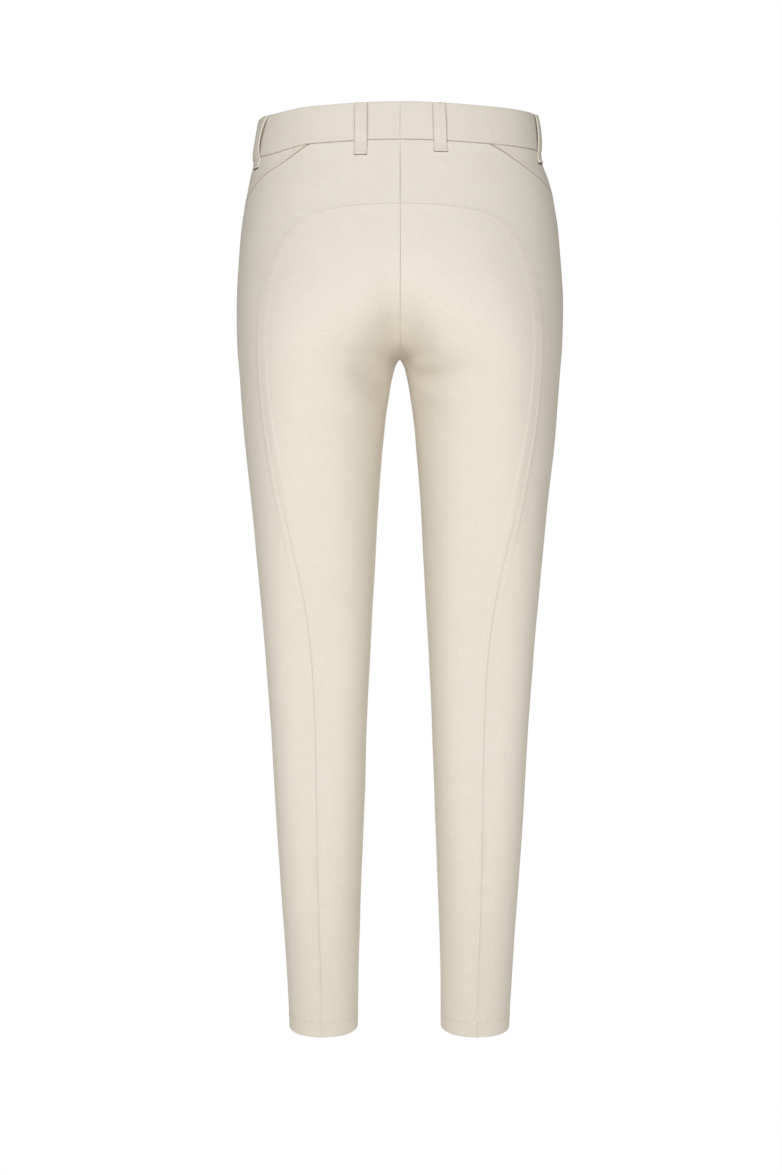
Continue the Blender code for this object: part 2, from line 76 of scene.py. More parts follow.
# The seat panel's seam, across and height, from the centre back over the hip to the hem.
seatSeam = [
    (0.0000, -0.1012),
    (0.0300, -0.1020),
    (0.0600, -0.1048),
    (0.0860, -0.1105),
    (0.1050, -0.1240),
    (0.1146, -0.1370),
    (0.1225, -0.1520),
    (0.1288, -0.1720),
    (0.1338, -0.1960),
    (0.1363, -0.2220),
    (0.1368, -0.2530),
    (0.1349, -0.2900),
    (0.1293, -0.3330),
    (0.1202, -0.3850),
    (0.1070, -0.4470),
    (0.0964, -0.5030),
    (0.0908, -0.5550),
    (0.0873, -0.6250),
    (0.0857, -0.7100),
    (0.0848, -0.7900),
    (0.0828, -0.8700),
    (0.0812, -0.9570),
]
archCorner = 4  # where the seam turns from the arch down the leg

# How much lower the waist is cut, by the angle round it (-90 back, 0 side, 90 front).
waistDips = [
    (-90, 0.0),
    (-84, 0.0),
    (-66, 0.0010),
    (-46, 0.0026),
    (10, 0.0030),
    (50, 0.0062),
    (90, 0.0100),
]

# The hip yoke's scooped seam: the same angle, and its depth below the waistband.
yokeSeam = [
    (-45.2, 0.0),
    (-39.2, 0.0066),
    (-31.2, 0.0180),
    (-20.8, 0.0312),
    (-10, 0.0402),
    (3, 0.0440),
    (16, 0.0415),
    (28, 0.0310),
    (38, 0.0155),
    (46, 0.0),
]

cut = {
    "bandBottom": -0.0375,
    "crotch": -0.2485,
    "hem": -0.957,
    "frontYokeLevel": -0.120,
    "seamAtCrotch": -0.280,
    "inseamAngle": 155.0,
    "inseamTurn": 0.120,
    "cloth": 0.9 * mm,
    "wallOut": 0.75 * mm,  # the cloth's face stands this far outside the middle surface
    "clearance": 0.06 * mm,  # each edge stays this far from its seam
}


def mix(a, b, t):
    return a + (b - a) * t


def ease(t):
    t = np.clip(t, 0.0, 1.0)
    return t * t * (3 - 2 * t)


def bell(distance, width):
    return np.exp(-((distance / width) ** 2))


# The distance along a line of points, from 0 at its start.
def runOf(points):
    steps = np.linalg.norm(np.diff(points, axis=0), axis=1)
    return np.concatenate(([0.0], np.cumsum(steps)))


def moveTo(verts, points):
    for vert, point in zip(verts, points):
        vert.co = point


# A curve that runs smoothly through a table's points, for one number or an array of them.
def smoothCurve(places, values):
    order = np.argsort(places)
    x = np.array(places, float)[order]
    y = np.array(values, float)[order]
    gap = np.diff(x)
    step = np.diff(y) / gap
    slope = np.concatenate(([step[0]], step, [step[-1]]))[:-1]
    slope[1:-1] = (step[:-1] * gap[1:] + step[1:] * gap[:-1]) / (gap[:-1] + gap[1:])
    slope[-1] = step[-1]

    def at(place):
        place = np.clip(place, x[0], x[-1])
        i = np.clip(np.searchsorted(x, place, "right") - 1, 0, len(x) - 2)
        t = (place - x[i]) / gap[i]
        level = y[i] * (1 + 2 * t) * (1 - t) ** 2 + y[i + 1] * t * t * (3 - 2 * t)
        return level + gap[i] * (slope[i] * t * (1 - t) ** 2 - slope[i + 1] * t * t * (1 - t))

    return at


heights = [row[0] for row in sections]
read = {
    name: smoothCurve(heights, [row[i] for row in sections])
    for i, name in enumerate(sectionNames)
    if i
}
waistDip = smoothCurve(*zip(*waistDips))
yokeBelow = smoothCurve(*zip(*yokeSeam))


def loopAt(height):
    outer, inner = read["outer"](height), read["inner"](height)
    back, front = read["back"](height), read["front"](height)
    bridge = np.maximum(read["bridge"](height), 0.0)
    middle = (outer + inner) / 2, (back + front) / 2
    return middle, (outer - inner) / 2, (front - back) / 2, read["power"](height), bridge


# The right half's surface, by the angle round a level section and the height.
def surface(angle, height):
    middle, wide, deep, power, bridge = loopAt(height)
    cos, sin = np.cos(np.radians(angle)), np.sin(np.radians(angle))
    reach = (np.abs(cos / wide) ** power + np.abs(sin / deep) ** power) ** (-1 / power)
    across = middle[0] + reach * cos
    flat = np.sqrt(np.maximum(across**2 - bridge**2, 0.0))
    height = height + np.zeros_like(across)
    return np.stack((np.copysign(flat, across), middle[1] + reach * sin, height), -1)


# The left hip is filled out a little more than the right, most of all under the band.
hipFullness = {"out": 5.4 * mm, "height": -0.038, "above": 0.050, "below": 0.024}


# The band's seam hangs a little lower behind the left hip, and the yoke's seam below it.
waistDrop = {"down": 6.6 * mm, "from": 0.088, "height": -0.044, "above": 0.050, "below": 0.016}
yokeDrop = {"down": 9.0 * mm, "from": 0.134, "height": -0.090, "fade": 0.035}

# The centre back is drawn in towards the crotch, where the seat curves under, and once more
# in a narrower cleft just above it.
seatHollow = {"in": 17.0 * mm, "wide": 0.023, "top": -0.142, "deepest": -0.272, "gone": -0.352}
seatCleft = {"in": 9.0 * mm, "wide": 0.019, "top": -0.170, "deepest": -0.240, "gone": -0.300}


# Brings points of the right half to the side (1 right, -1 left) where they belong.
def toSide(points, side):
    points = np.array(points, float)
    drawn = 0.0
    for hollow in (seatHollow, seatCleft):
        top, deepest, gone = hollow["top"], hollow["deepest"], hollow["gone"]
        near = ease((top - points[..., 2]) / (top - deepest))
        near *= ease((points[..., 2] - gone) / (deepest - gone))
        drawn += hollow["in"] * near * bell(points[..., 0], hollow["wide"])
    points[..., 1] += drawn * ease((-points[..., 1] - 0.015) / 0.05)
    if side < 0:
        x, y, z = points[..., 0], points[..., 1], points[..., 2]
        up = z - waistDrop["height"]
        near = bell(up, np.where(up > 0, waistDrop["above"], waistDrop["below"]))
        low = waistDrop["down"] * near * ease((x - waistDrop["from"]) / 0.045)
        near = bell(z - yokeDrop["height"], yokeDrop["fade"])
        low = low + yokeDrop["down"] * near * ease((x - yokeDrop["from"]) / 0.022)
        low = low * ease((0.04 - y) / 0.06)
        x = x + read["outer"](z - low) - read["outer"](z)
        z = points[..., 2] = z - low
        up = z - hipFullness["height"]
        level = bell(up, np.where(up > 0, hipFullness["above"], hipFullness["below"]))
        outer = ease((x - 0.04) / 0.09) * bell(y + 0.01, 0.06)
        points[..., 0] = -(x + hipFullness["out"] * level * outer)
    return points


# Points and normals of the right half, brought to their side.
def bothToSide(points, normals, side):
    return toSide(points, side), normals * (side, 1, 1)


def outward(angle, height):
    roundIt = surface(angle + 0.5, height) - surface(angle - 0.5, height)
    upIt = surface(angle, height + 0.0005) - surface(angle, height - 0.0005)
    normal = np.cross(roundIt, upIt)
    return normal / np.linalg.norm(normal, axis=-1, keepdims=True)


# The angle of a point this far across, on the back (-1) or the front (1).
def angleAcross(across, height, face):
    middle, wide, deep, power, bridge = loopAt(height)
    sideways = np.hypot(across, bridge) - middle[0]
    inside = np.maximum(1 - np.minimum(np.abs(sideways) / wide, 1.0) ** power, 0.0)
    return np.degrees(np.arctan2(face * deep * inside ** (1 / power), sideways))


# The angle of the centre seam, and below the crotch of the inseam.
def innerAngle(height, face):
    rise = face * np.abs(angleAcross(0.0, height, face))
    turned = mix(180.0, cut["inseamAngle"], ease((cut["crotch"] - height) / cut["inseamTurn"]))
    return np.where(height >= cut["crotch"], rise, turned if face > 0 else turned - 360.0)


seamLengths = runOf(seatSeam)
seamAcross = smoothCurve(seamLengths, [p[0] for p in seatSeam])
seamHeight = smoothCurve(seamLengths, [p[1] for p in seatSeam])
cornerLength = seamLengths[archCorner]


def seamSpot(length):
    return angleAcross(seamAcross(length), seamHeight(length), -1), seamHeight(length)


def seamLengthAt(height):
    lengths = np.linspace(cornerLength, seamLengths[-1], 3000)
    return np.interp(-height, -seamHeight(lengths), lengths)


def bandSeam(angle):
    return cut["bandBottom"] - waistDip(angle)


print("worn shape ready")

# Each panel is a grid of spots, an angle and a height each. Its rows run between two seams
# and crowd up beside them, where the seams need more mesh.
mesh = {
    "besideSeam": [0.0, 0.25, 0.6, 1.0, 1.5, 2.0, 2.6, 3.8, 5.2, 6.4, 7.2, 8.0, 9.4, 11.5],
    "underCrotch": [0.12, 0.3, 0.6, 1.0, 1.6, 2.3, 3.2, 4.3, 5.8, 7.6, 9.8, 12.5],
    "aboveHem": [22, 20, 19, 18, 17, 16, 14, 11, 8, 5, 3, 1.5],
    "hipDepth": 65 * mm,
    "yokeDepth": 44 * mm,
    "riseRows": 40,
    "legRows": 150,
    "hipRows": 16,
    "yokeRows": 10,
    "seatColumns": 42,
    "legColumns": (46, 30),  # behind and before the yoke's front end
    "archColumns": 24,
}
besideSeam = np.array(mesh["besideSeam"]) * mm


# Spots along a path at the wanted distances, which a function works out from its length.
def spread(path, wanted):
    t = np.linspace(0.0, 1.0, 160)
    angle, height = path(t)
    points = surface(angle, height)
    run = runOf(points)
    at = np.interp(wanted(run[-1]), run, t)
    return np.stack(path(at), -1)


# Distances from 0 to a length, crowded beside the start, the end or both.
def crowded(length, columns, start=True, end=True, knot=None):
    first = besideSeam if start else np.array([0.0])
    last = length - besideSeam[::-1] if end else np.array([length])
    if knot is None:
        middle = np.linspace(first[-1], last[0], columns + 1)[1:-1]
    else:
        before, after = columns
        upTo = np.linspace(first[-1], knot * length, before + 1)[1:]
        beyond = np.linspace(knot * length, last[0], after + 1)[1:-1]
        middle = np.concatenate((upTo, beyond))
    return np.concatenate((first, middle, last))


archShare = np.linspace(0, 1, 400)
archTurn, archFall = (
    (v - v[0]) / (v[-1] - v[0]) for v in seamSpot(np.linspace(0, cornerLength, 400))
)
riseRows, legRows = 10, 18  # rows of the cut, the crotch lies on row 10


# The height of one end of a row, a row being any number to 28.
def rowHeight(row, top, atCrotch, power=1.0):
    rise = mix(atCrotch, top, np.maximum(1 - row / riseRows, 0) ** power)
    leg = mix(atCrotch, cut["hem"], np.maximum(row - riseRows, 0) / legRows)
    return np.where(row < riseRows, rise, leg)


# A row's two ends: at the centre seam or the inseam, on one face, and at the seat seam.
def rowEnds(row, top, face):
    inner = rowHeight(row, top, cut["crotch"], 2.2)
    outer = rowHeight(row, seatSeam[archCorner][1], cut["seamAtCrotch"])
    return (innerAngle(inner, face), inner), seamSpot(seamLengthAt(outer))


def rowNumbers(fromSeam):
    rise = np.linspace(0, riseRows, mesh["riseRows"] + 1)
    if fromSeam:
        topRow = 33 * mm  # how tall the first row of the cut is
        rise = np.concatenate((besideSeam / topRow, np.linspace(0.42, riseRows, 38)))
    leg = np.linspace(riseRows, riseRows + legRows, mesh["legRows"] + 1)[1:]
    span = (cut["crotch"] - cut["hem"]) / legRows
    first = riseRows + np.array(mesh["underCrotch"]) * mm / span
    leg = np.concatenate((first, leg[leg > first[-1] + 0.05]))
    last = riseRows + legRows - np.array(mesh["aboveHem"]) * mm / span
    leg = np.sort(np.concatenate((leg[leg < last[0] - 0.05], last, leg[-1:])))
    return np.concatenate((rise, leg))


def seatRows():
    rows = []
    for row in rowNumbers(True):
        start, end = rowEnds(row, seatSeam[0][1], -1)
        arched = max(1 - row / riseRows, 0.0)

        def path(t):
            turn = mix(t, np.interp(t, archShare, archTurn), arched)
            fall = mix(ease(t), np.interp(t, archShare, archFall), arched)
            return mix(start[0], end[0], turn), mix(start[1], end[1], fall)

        rows.append(spread(path, lambda n: crowded(n, mesh["seatColumns"])))
    return np.array(rows)


yokeEnds = yokeSeam[0][0], yokeSeam[-1][0]
yokeShare = 11 / 18  # how far round the outer panel the yoke's front end lies


def legRowsOf():
    rows = []
    for row in rowNumbers(False):
        end, start = rowEnds(row, cut["frontYokeLevel"], 1)

        def path(t):
            return mix(start[0], end[0], t), mix(start[1], end[1], ease(t))

        rows.append(spread(path, lambda n: crowded(n, mesh["legColumns"], knot=yokeShare)))
    return np.array(rows)


def waistPath(start, end):
    def path(t):
        angle = mix(start, end, t)
        return angle, bandSeam(angle) - yokeBelow(angle)

    return path


def hipRowsOf(legTop):
    underYoke, past = mesh["legColumns"]
    around = mesh["archColumns"]
    back = spread(waistPath(-90.0, yokeEnds[0]), lambda n: crowded(n, around, end=False))
    yoke = spread(waistPath(*yokeEnds), lambda n: crowded(n, underYoke, end=False))
    front = spread(waistPath(yokeEnds[1], 90.0), lambda n: crowded(n, past, start=False))
    top = np.concatenate((back, yoke[1:], front[1:]))
    arch = spread(lambda t: seamSpot(t * cornerLength), lambda n: crowded(n, around, end=False))
    bottom = np.concatenate((arch, legTop[1:]))
    share = crowded(mesh["hipDepth"], mesh["hipRows"]) / mesh["hipDepth"]
    grid = mix(top[None], bottom[None], share[:, None, None])
    # both ends of each row are brought to the centre seams, and the rest follows a little
    angle, height = grid[..., 0].copy(), grid[..., 1]
    for column, face in ((0, -1), (-1, 1)):
        miss = innerAngle(height[:, column], face) - angle[:, column]
        near = np.abs(angle - angle[:, [column]]) / 30.0
        grid[..., 0] += miss[:, None] * ease(1 - near)
    return grid


def yokeRowsOf():
    seam = spread(waistPath(*yokeEnds), lambda n: np.linspace(0, n, 64))
    top = np.stack((seam[:, 0], bandSeam(seam[:, 0])), -1)
    share = crowded(mesh["yokeDepth"], mesh["yokeRows"]) / mesh["yokeDepth"]
    return mix(top[None], seam[None], share[:, None, None])


# Seams as dense lines of points, to measure how far the cloth is from them.
def seamTree(path, count=3600):
    tree = KDTree(count)
    for i, point in enumerate(surface(*path(np.linspace(0.0, 1.0, count)))):
        tree.insert(point, i)
    tree.balance()
    return tree


# The path of a centre seam or of the inseam, on the back (-1) or the front (1).
def innerPath(top, bottom, face):
    def path(t):
        height = mix(top, bottom, t)
        return innerAngle(height, face), height

    return path


seamPaths = {
    "seat": lambda t: seamSpot(t * seamLengths[-1]),
    "centreBack": innerPath(bandSeam(-90.0), cut["crotch"], -1),
    "centreFront": innerPath(bandSeam(90.0), cut["crotch"], 1),
    "inseam": innerPath(cut["crotch"], cut["hem"], 1),
    "yoke": waistPath(*yokeEnds),
    "band": lambda t: (mix(-90.0, 90.0, t), bandSeam(mix(-90.0, 90.0, t))),
}
trees = {name: seamTree(path) for name, path in seamPaths.items()}


def distanceTo(name, points):
    return np.array([trees[name].find(point)[2] for point in points])


# What each seam does to the cloth beside it, in millimetres: how far the allowances underneath
# lift it and how wide they are, the groove at the seam and how much shade is painted into it,
# and how far off a row of stitches lies and how deep it presses.
relief = {
    "seat": {"lift": 0.42, "wide": 6.6, "groove": 0.16, "shade": 0.10, "row": 2.0, "press": 0.16},
    "centreBack": {"lift": 0.08, "wide": 8.0, "groove": 0.12, "shade": 0.12},
    "centreFront": {"lift": 0.15, "wide": 8.0, "groove": 0.28, "shade": 0.4},
    "inseam": {"lift": 0.18, "wide": 6.0, "groove": 0.26, "shade": 0.3},
    "yoke": {"lift": 0.24, "wide": 4.0, "groove": 0.60, "shade": 1.0, "row": 4.4, "press": 0.12},
    "band": {"lift": -0.10, "wide": 5.0, "groove": 0.44, "shade": 0.50},
}


def seamRelief(name, away):
    shape = relief[name]
    out = shape["lift"] * mm * ease((shape["wide"] * mm + 1.4 * mm - away) / (1.6 * mm))
    out -= shape["groove"] * mm * bell(away, 0.36 * mm)
    if "row" in shape:
        out -= shape["press"] * mm * bell(away - shape["row"] * mm, 0.55 * mm)
    return out


# Soft creases: side, angle and height of the two ends, depth and width in millimetres.
# A positive depth is a fold that stands out, a negative one a dip.
creases = [
    # below the seat, running up and out from the crotch
    (1, -146, -0.266, -98, -0.262, -4.4, 9.5),
    (1, -112, -0.300, -84, -0.284, -0.3, 8.0),
    (-1, -160, -0.290, -114, -0.262, -5.4, 11.0),
    (-1, -108, -0.300, -90, -0.280, -0.3, 8.0),
    # small wrinkles low on the right seat
    (1, -66.0, -0.176, -64.5, -0.196, -0.30, 1.5),
    (1, -63.0, -0.178, -61.8, -0.200, -0.34, 1.7),
    (1, -60.2, -0.184, -60.6, -0.206, -0.26, 1.5),
    (1, -68.8, -0.186, -67.0, -0.204, -0.20, 1.6),
    (-1, -64.0, -0.190, -62.0, -0.208, -0.16, 1.8),
    # behind the thigh and the knee
    (1, -70, -0.462, -52, -0.446, -0.30, 3.2),
    (1, -66, -0.480, -50, -0.470, -0.24, 3.0),
    (-1, -66, -0.424, -50, -0.408, -0.30, 3.4),
    (-1, -96, -0.548, -60, -0.540, -0.35, 6.0),
    (1, -92, -0.556, -64, -0.562, -0.35, 6.5),
    (-1, -100, -0.585, -74, -0.578, -0.25, 5.0),
    # front of the crotch
    (1, 140, -0.232, 96, -0.196, -1.0, 7.0),
    (-1, 142, -0.234, 92, -0.202, -1.1, 7.5),
    (1, 128, -0.250, 84, -0.236, -0.8, 7.0),
    (-1, 130, -0.254, 80, -0.232, -0.7, 6.5),
    (1, 112, -0.276, 80, -0.272, -0.5, 7.0),
    # front hip and knee
    (1, 60, -0.118, 36, -0.150, -0.35, 6.0),
    (-1, 58, -0.126, 30, -0.150, -0.30, 6.0),
    (1, 110, -0.532, 70, -0.520, -0.35, 6.0),
    (-1, 108, -0.540, 76, -0.548, -0.32, 6.0),
    (-1, 116, -0.512, 84, -0.506, -0.25, 5.0),
    # above the front of the hem
    (1, 120, -0.900, 64, -0.888, -0.45, 5.0),
    (-1, 112, -0.908, 60, -0.896, -0.50, 5.5),
    (1, 100, -0.872, 50, -0.868, -0.30, 5.0),
    (-1, 40, -0.880, -10, -0.890, -0.25, 5.0),
]


def creaseRelief(angle, height, side):
    out = np.zeros_like(angle)
    for which, angleA, heightA, angleB, heightB, depth, width in creases:
        if which != side:
            continue
        _, wide, deep, _, _ = loopAt((heightA + heightB) / 2)
        degree = math.radians((wide + deep) / 2)
        turn = (angle - angleA + 540) % 360 - 180
        alongX, alongZ = (angleB - angleA) * degree, heightB - heightA
        length = math.hypot(alongX, alongZ)
        x, z = turn * degree, height - heightA
        t = (x * alongX + z * alongZ) / length**2
        sag = 0.06 * length * np.sin(np.pi * np.clip(t, 0, 1))
        off = (x * alongZ - z * alongX) / length - sag
        taper = ease(np.clip(t + 0.25, 0, 1) / 0.6) * ease(np.clip(1.25 - t, 0, 1) / 0.6)
        w = width * mm * (0.75 + 0.5 * np.clip(t, 0, 1))
        fold = bell(off, w) - 0.45 * bell(np.abs(off) - 2.0 * w, 0.9 * w)
        out += depth * mm * fold * taper
    return out


# Slow unevenness that worn cloth always has.
def softWaves(points, side):
    x, y, z = points[:, 0] * side, points[:, 1], points[:, 2]
    wave = np.sin(41 * x + 23 * z + 1.1) * np.sin(17 * z - 31 * y + 0.4)
    wave += 0.7 * np.sin(63 * z + 35 * y + 2.0) * np.sin(52 * x - 19 * z + 3.0)
    wave += 0.4 * np.sin(118 * z + 71 * x + 0.7) * np.sin(96 * y + 44 * z)
    return 0.16 * mm * wave


panelSeams = {
    "seat": ("seat", "centreBack", "inseam"),
    "outer": ("seat", "centreBack", "centreFront", "inseam", "yoke", "band"),
    "yoke": ("yoke", "band"),
}
hem = {"turnUp": 17.6 * mm, "stitchUp": 16.6 * mm, "lift": 0.20 * mm, "press": 0.16 * mm}


# The right front laps over the left as far down as the fly goes.
flyLap = {"over": 0.55 * mm, "under": 0.40 * mm, "wide": 13 * mm, "foot": -0.209}


# How far the cloth's face stands out of the middle surface, all told.
def clothOut(panel, angle, height, side, away=None):
    points = surface(angle, height)
    if away is None:
        away = {name: distanceTo(name, points) for name in panelSeams[panel]}
    out = cut["wallOut"] + softWaves(points, side) + creaseRelief(angle, height, side)
    for name in panelSeams[panel]:
        lift = seamRelief(name, away[name])
        if name == "seat":
            # the allowances show most down the outside of the thigh
            strong = (1.15 if panel == "outer" else 0.75) * bell(height + 0.335, 0.13)
            lift = lift * np.where(away[name] > 3 * mm, 0.30 + strong, 1.0)
        out = out + lift
    if panel == "outer":
        lap = ease((flyLap["wide"] - away["centreFront"]) / flyLap["wide"])
        lap *= ease((height - flyLap["foot"]) / (14 * mm))
        out = out + (flyLap["over"] if side > 0 else -flyLap["under"]) * lap
    if panel != "yoke":
        up = height - cut["hem"]
        out = out + hem["lift"] * ease((hem["turnUp"] - up) / (1.2 * mm))
        out = out - hem["press"] * bell(up - hem["stitchUp"], 0.6 * mm)
    return out


gridLayers = ("angle", "height", "lift", "fold")


# Adds a bent grid to a mesh: one vertex for each spot, with what the spot carries.
def addGrid(bm, spots, lifts=0.0, folds=0.0):
    rows, columns = spots.shape[:2]
    layers = [bm.verts.layers.float[name] for name in gridLayers]
    made = bmesh.ops.create_grid(bm, x_segments=columns - 1, y_segments=rows - 1, size=1.0)
    values = np.broadcast_arrays(spots[..., 0], spots[..., 1], lifts, folds)
    values = np.stack(values, -1).reshape(-1, 4)
    angle, height, lift = values[:, 0], values[:, 1], values[:, 2:3]
    moveTo(made["verts"], surface(angle, height) + outward(angle, height) * lift)
    for vert, value in zip(made["verts"], values):
        for layer, number in zip(layers, value):
            vert[layer] = number


def newGridMesh():
    bm = bmesh.new()
    for name in gridLayers:
        bm.verts.layers.float.new(name)
    return bm


def readLayer(bm, name):
    layer = bm.verts.layers.float[name]
    return np.array([vert[layer] for vert in bm.verts])


# Turns the cloth up inside the leg: the rows go round the hem's fold and back up.
def withHem(rows):
    radius = 0.925 * mm
    middle = cut["wallOut"] - radius
    last = rows[-1]
    turn = np.radians(np.arange(0, 181, 30))
    rise = [cut["hem"] + radius - radius * math.sin(a) for a in turn]
    lift = [middle + radius * math.cos(a) - cut["wallOut"] for a in turn]
    for up in (3, 6, 9, 12, 15, 17.2):
        rise.append(cut["hem"] + up * mm)
        lift.append(lift[6])
    extra = np.repeat(last[None], len(rise), 0)
    extra[:, :, 1] = np.array(rise)[:, None]
    spots = np.concatenate((rows[:-1], extra))
    lifts = np.zeros(spots.shape[:2])
    folds = np.zeros(spots.shape[:2])
    lifts[-len(rise) :] = np.array(lift)[:, None]
    folds[-len(rise) :] = np.clip(np.arange(len(rise)) / 6, 0, 1)[:, None]
    return spots, lifts, folds


# Keeps the open edges a hair's breadth off the seams.
def pullEdgesIn(bm, amount):
    moves = {}
    for vert in bm.verts:
        if not vert.is_boundary:
            continue
        edges = [e for e in vert.link_edges if not e.is_boundary] or vert.link_edges
        way = sum(((e.other_vert(vert).co - vert.co).normalized() for e in edges), Vector())
        moves[vert] = way.normalized() * amount
    for vert, move in moves.items():
        vert.co += move


def pointFacesOut(bm, side):
    bm.normal_update()
    face = max(bm.faces, key=lambda f: f.calc_area())
    angle, height = (face.verts[0][bm.verts.layers.float[name]] for name in gridLayers[:2])
    out = outward(angle, height) * (side, 1, 1)
    if face.normal.dot(Vector(out)) < 0:
        bmesh.ops.reverse_faces(bm, faces=bm.faces)


# The weave follows the cloth: across is measured round the leg, along by height, in metres.
def addClothMap(bm):
    high = bm.verts.layers.float["height"]
    uv = bm.loops.layers.uv.new("cloth")
    _, wide, deep, _, _ = loopAt(readLayer(bm, "height"))
    across = np.radians(readLayer(bm, "angle")) * (wide + deep) / 2
    for vert, u in zip(bm.verts, across):
        for loop in vert.link_loops:
            loop[uv].uv = (u, vert[high])


def objectOf(bm, name, materials=()):
    data = bpy.data.meshes.new(name)
    bm.to_mesh(data)
    bm.free()
    made = bpy.data.objects.new(name, data)
    scene.collection.objects.link(made)
    for material in materials:
        data.materials.append(material)
    return made


# Makes an object of a mesh, rides it on the body and puts it in its node's place.
def finishPiece(bm, name, materials, node=None):
    for spent in gridLayers:
        layer = bm.verts.layers.float.get(spent)
        if layer:
            bm.verts.layers.float.remove(layer)
    piece = objectOf(bm, name, materials)
    piece.data.shade_smooth()
    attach(piece, "root")
    if node:
        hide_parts(node)
    return piece


# Shade in the folds and seams, painted on the vertices.
def addShade(bm, dark):
    shade = bm.verts.layers.float.new("seamShade")
    for vert, value in zip(bm.verts, dark):
        vert[shade] = value


# A panel from its grids: shaped, relieved, given its wall, and put in its node's place.
def makePanel(panel, grids, side, node, material):
    bm = newGridMesh()
    for grid in grids:
        addGrid(bm, *grid)
    bmesh.ops.remove_doubles(bm, verts=bm.verts, dist=0.01 * mm)
    angle, height, lift, fold = (readLayer(bm, name) for name in gridLayers)
    points, normals = surface(angle, height), outward(angle, height)
    away = {name: distanceTo(name, points) for name in panelSeams[panel]}
    out = clothOut(panel, angle, height, side, away)
    out = mix(out, cut["wallOut"], fold) + lift
    moveTo(bm.verts, toSide(points + normals * out[:, None], side))
    pullEdgesIn(bm, cut["clearance"])
    pointFacesOut(bm, side)
    addClothMap(bm)
    # painted shade along each seam, darkest on its line
    darks = [relief[name]["shade"] * bell(far, 0.45 * mm) for name, far in away.items()]
    addShade(bm, np.max(darks, 0))
    piece = finishPiece(bm, node + "_cloth", [material], node)
    wall = piece.modifiers.new("wall", "SOLIDIFY")
    wall.thickness = cut["cloth"]
    wall.offset = -1.0


# Materials. Their colours are sRGB hex values, turned to linear here.
def linear(hexColour):
    channels = [int(hexColour[i : i + 2], 16) / 255 for i in (1, 3, 5)]
    return [c / 12.92 if c <= 0.04045 else ((c + 0.055) / 1.055) ** 2.4 for c in channels] + [1.0]


def setSockets(tree, node, inputs):
    for name, value in inputs.items():
        if isinstance(value, bpy.types.NodeSocket):
            tree.links.new(value, node.inputs[name])
        else:
            node.inputs[name].default_value = value


# Adds a node with its settings and links, and gives back the output that is wanted.
def addNode(tree, kind, output, inputs={}, **settings):
    node = tree.nodes.new("ShaderNode" + kind)
    for name, value in settings.items():
        setattr(node, name, value)
    setSockets(tree, node, inputs)
    return node.outputs[output]


def newMaterial(name):
    material = bpy.data.materials.new(name)
    material.use_nodes = True
    return material, material.node_tree, material.node_tree.nodes["Principled BSDF"]


# A finish that is the same all over.
def plainMaterial(name, hexColour, roughness=0.95, more={}):
    material, tree, shader = newMaterial(name)
    setSockets(tree, shader, {"Base Color": linear(hexColour), "Roughness": roughness, **more})
    return material


# Stretch twill, polyamide and elastane, piece-dyed cream and brushed: matt, with a short soft
# nap that lightens at the edges. The ribs run 0.9 mm apart. Real fibre specks are 0.2 mm, and
# are drawn at 1.5 mm so that they show.
twill = {
    "light": "#E6E0D4",
    "dark": "#DED7C9",
    # the colour that the cloth turns towards where shade is painted in seams and folds
    "seam": "#A98D75",
    "ribPitch": 0.9 * mm,
    "speck": 1.5 * mm,
    "cloud": 16 * mm,
    "roughness": 0.82,
    "sheen": 0.04,
    "bump": 0.10,
}


def makeCloth(name, look):
    material, tree, shader = newMaterial(name)
    place = addNode(tree, "TexCoord", "Object")
    fine = {"Vector": place, "Scale": 1 / look["speck"], "Detail": 3.0, "Roughness": 0.65}
    speck = addNode(tree, "TexNoise", "Fac", fine)
    coarse = {"Vector": place, "Scale": 1 / look["cloud"], "Detail": 2.0}
    cloud = addNode(tree, "TexNoise", "Fac", coarse)
    pair = {"Factor": 0.16, "A": speck, "B": cloud}
    both = addNode(tree, "Mix", "Result", pair, data_type="FLOAT")
    tone = addNode(tree, "MapRange", "Result", {"Value": both, "From Min": 0.34, "From Max": 0.66})
    pair = {"Factor": tone, "A": linear(look["dark"]), "B": linear(look["light"])}
    colour = addNode(tree, "Mix", 2, pair, data_type="RGBA")
    # painted shade: where the mesh carries seamShade, the cloth turns towards the seam colour
    seam = addNode(tree, "Attribute", "Fac", attribute_name="seamShade")
    inSeam = addNode(tree, "Math", 0, {0: seam, 1: 0.75}, operation="MULTIPLY", use_clamp=True)
    pair = {"Factor": inSeam, "A": colour, "B": linear(look["seam"])}
    colour = addNode(tree, "Mix", 2, pair, data_type="RGBA")
    cloth = addNode(tree, "UVMap", "UV", uv_map="cloth")
    twillTurn = {"Vector": cloth, "Rotation": (0, 0, math.radians(27))}
    ribs = {
        "Vector": addNode(tree, "Mapping", "Vector", twillTurn),
        "Scale": math.pi / 10 / look["ribPitch"],
        "Distortion": 1.5,
        "Detail": 1.0,
        "Detail Scale": 2.0,
    }
    pair = {"Factor": 0.65, "A": addNode(tree, "TexWave", "Fac", ribs), "B": speck}
    height = addNode(tree, "Mix", "Result", pair, data_type="FLOAT")
    bump = {"Strength": 0.6, "Distance": look["bump"] * mm, "Height": height}
    finish = {
        "Base Color": colour,
        "Roughness": look["roughness"],
        "Sheen Weight": look["sheen"],
        "Sheen Roughness": 0.5,
        "Normal": addNode(tree, "Bump", "Normal", bump),
    }
    setSockets(tree, shader, finish)
    return material


stretchTwill = makeCloth("stretch twill, brushed", twill)
seatCloth = makeCloth("seat cloth, smooth-faced twill", {**twill, "roughness": 0.76, "bump": 0.07})
# the waistband and the loops take the same twill, a little darker all over
bandCloth = makeCloth(
    "stretch twill, fused double", {**twill, "light": "#E2DCD0", "dark": "#DBD4C6", "bump": 0.08}
)

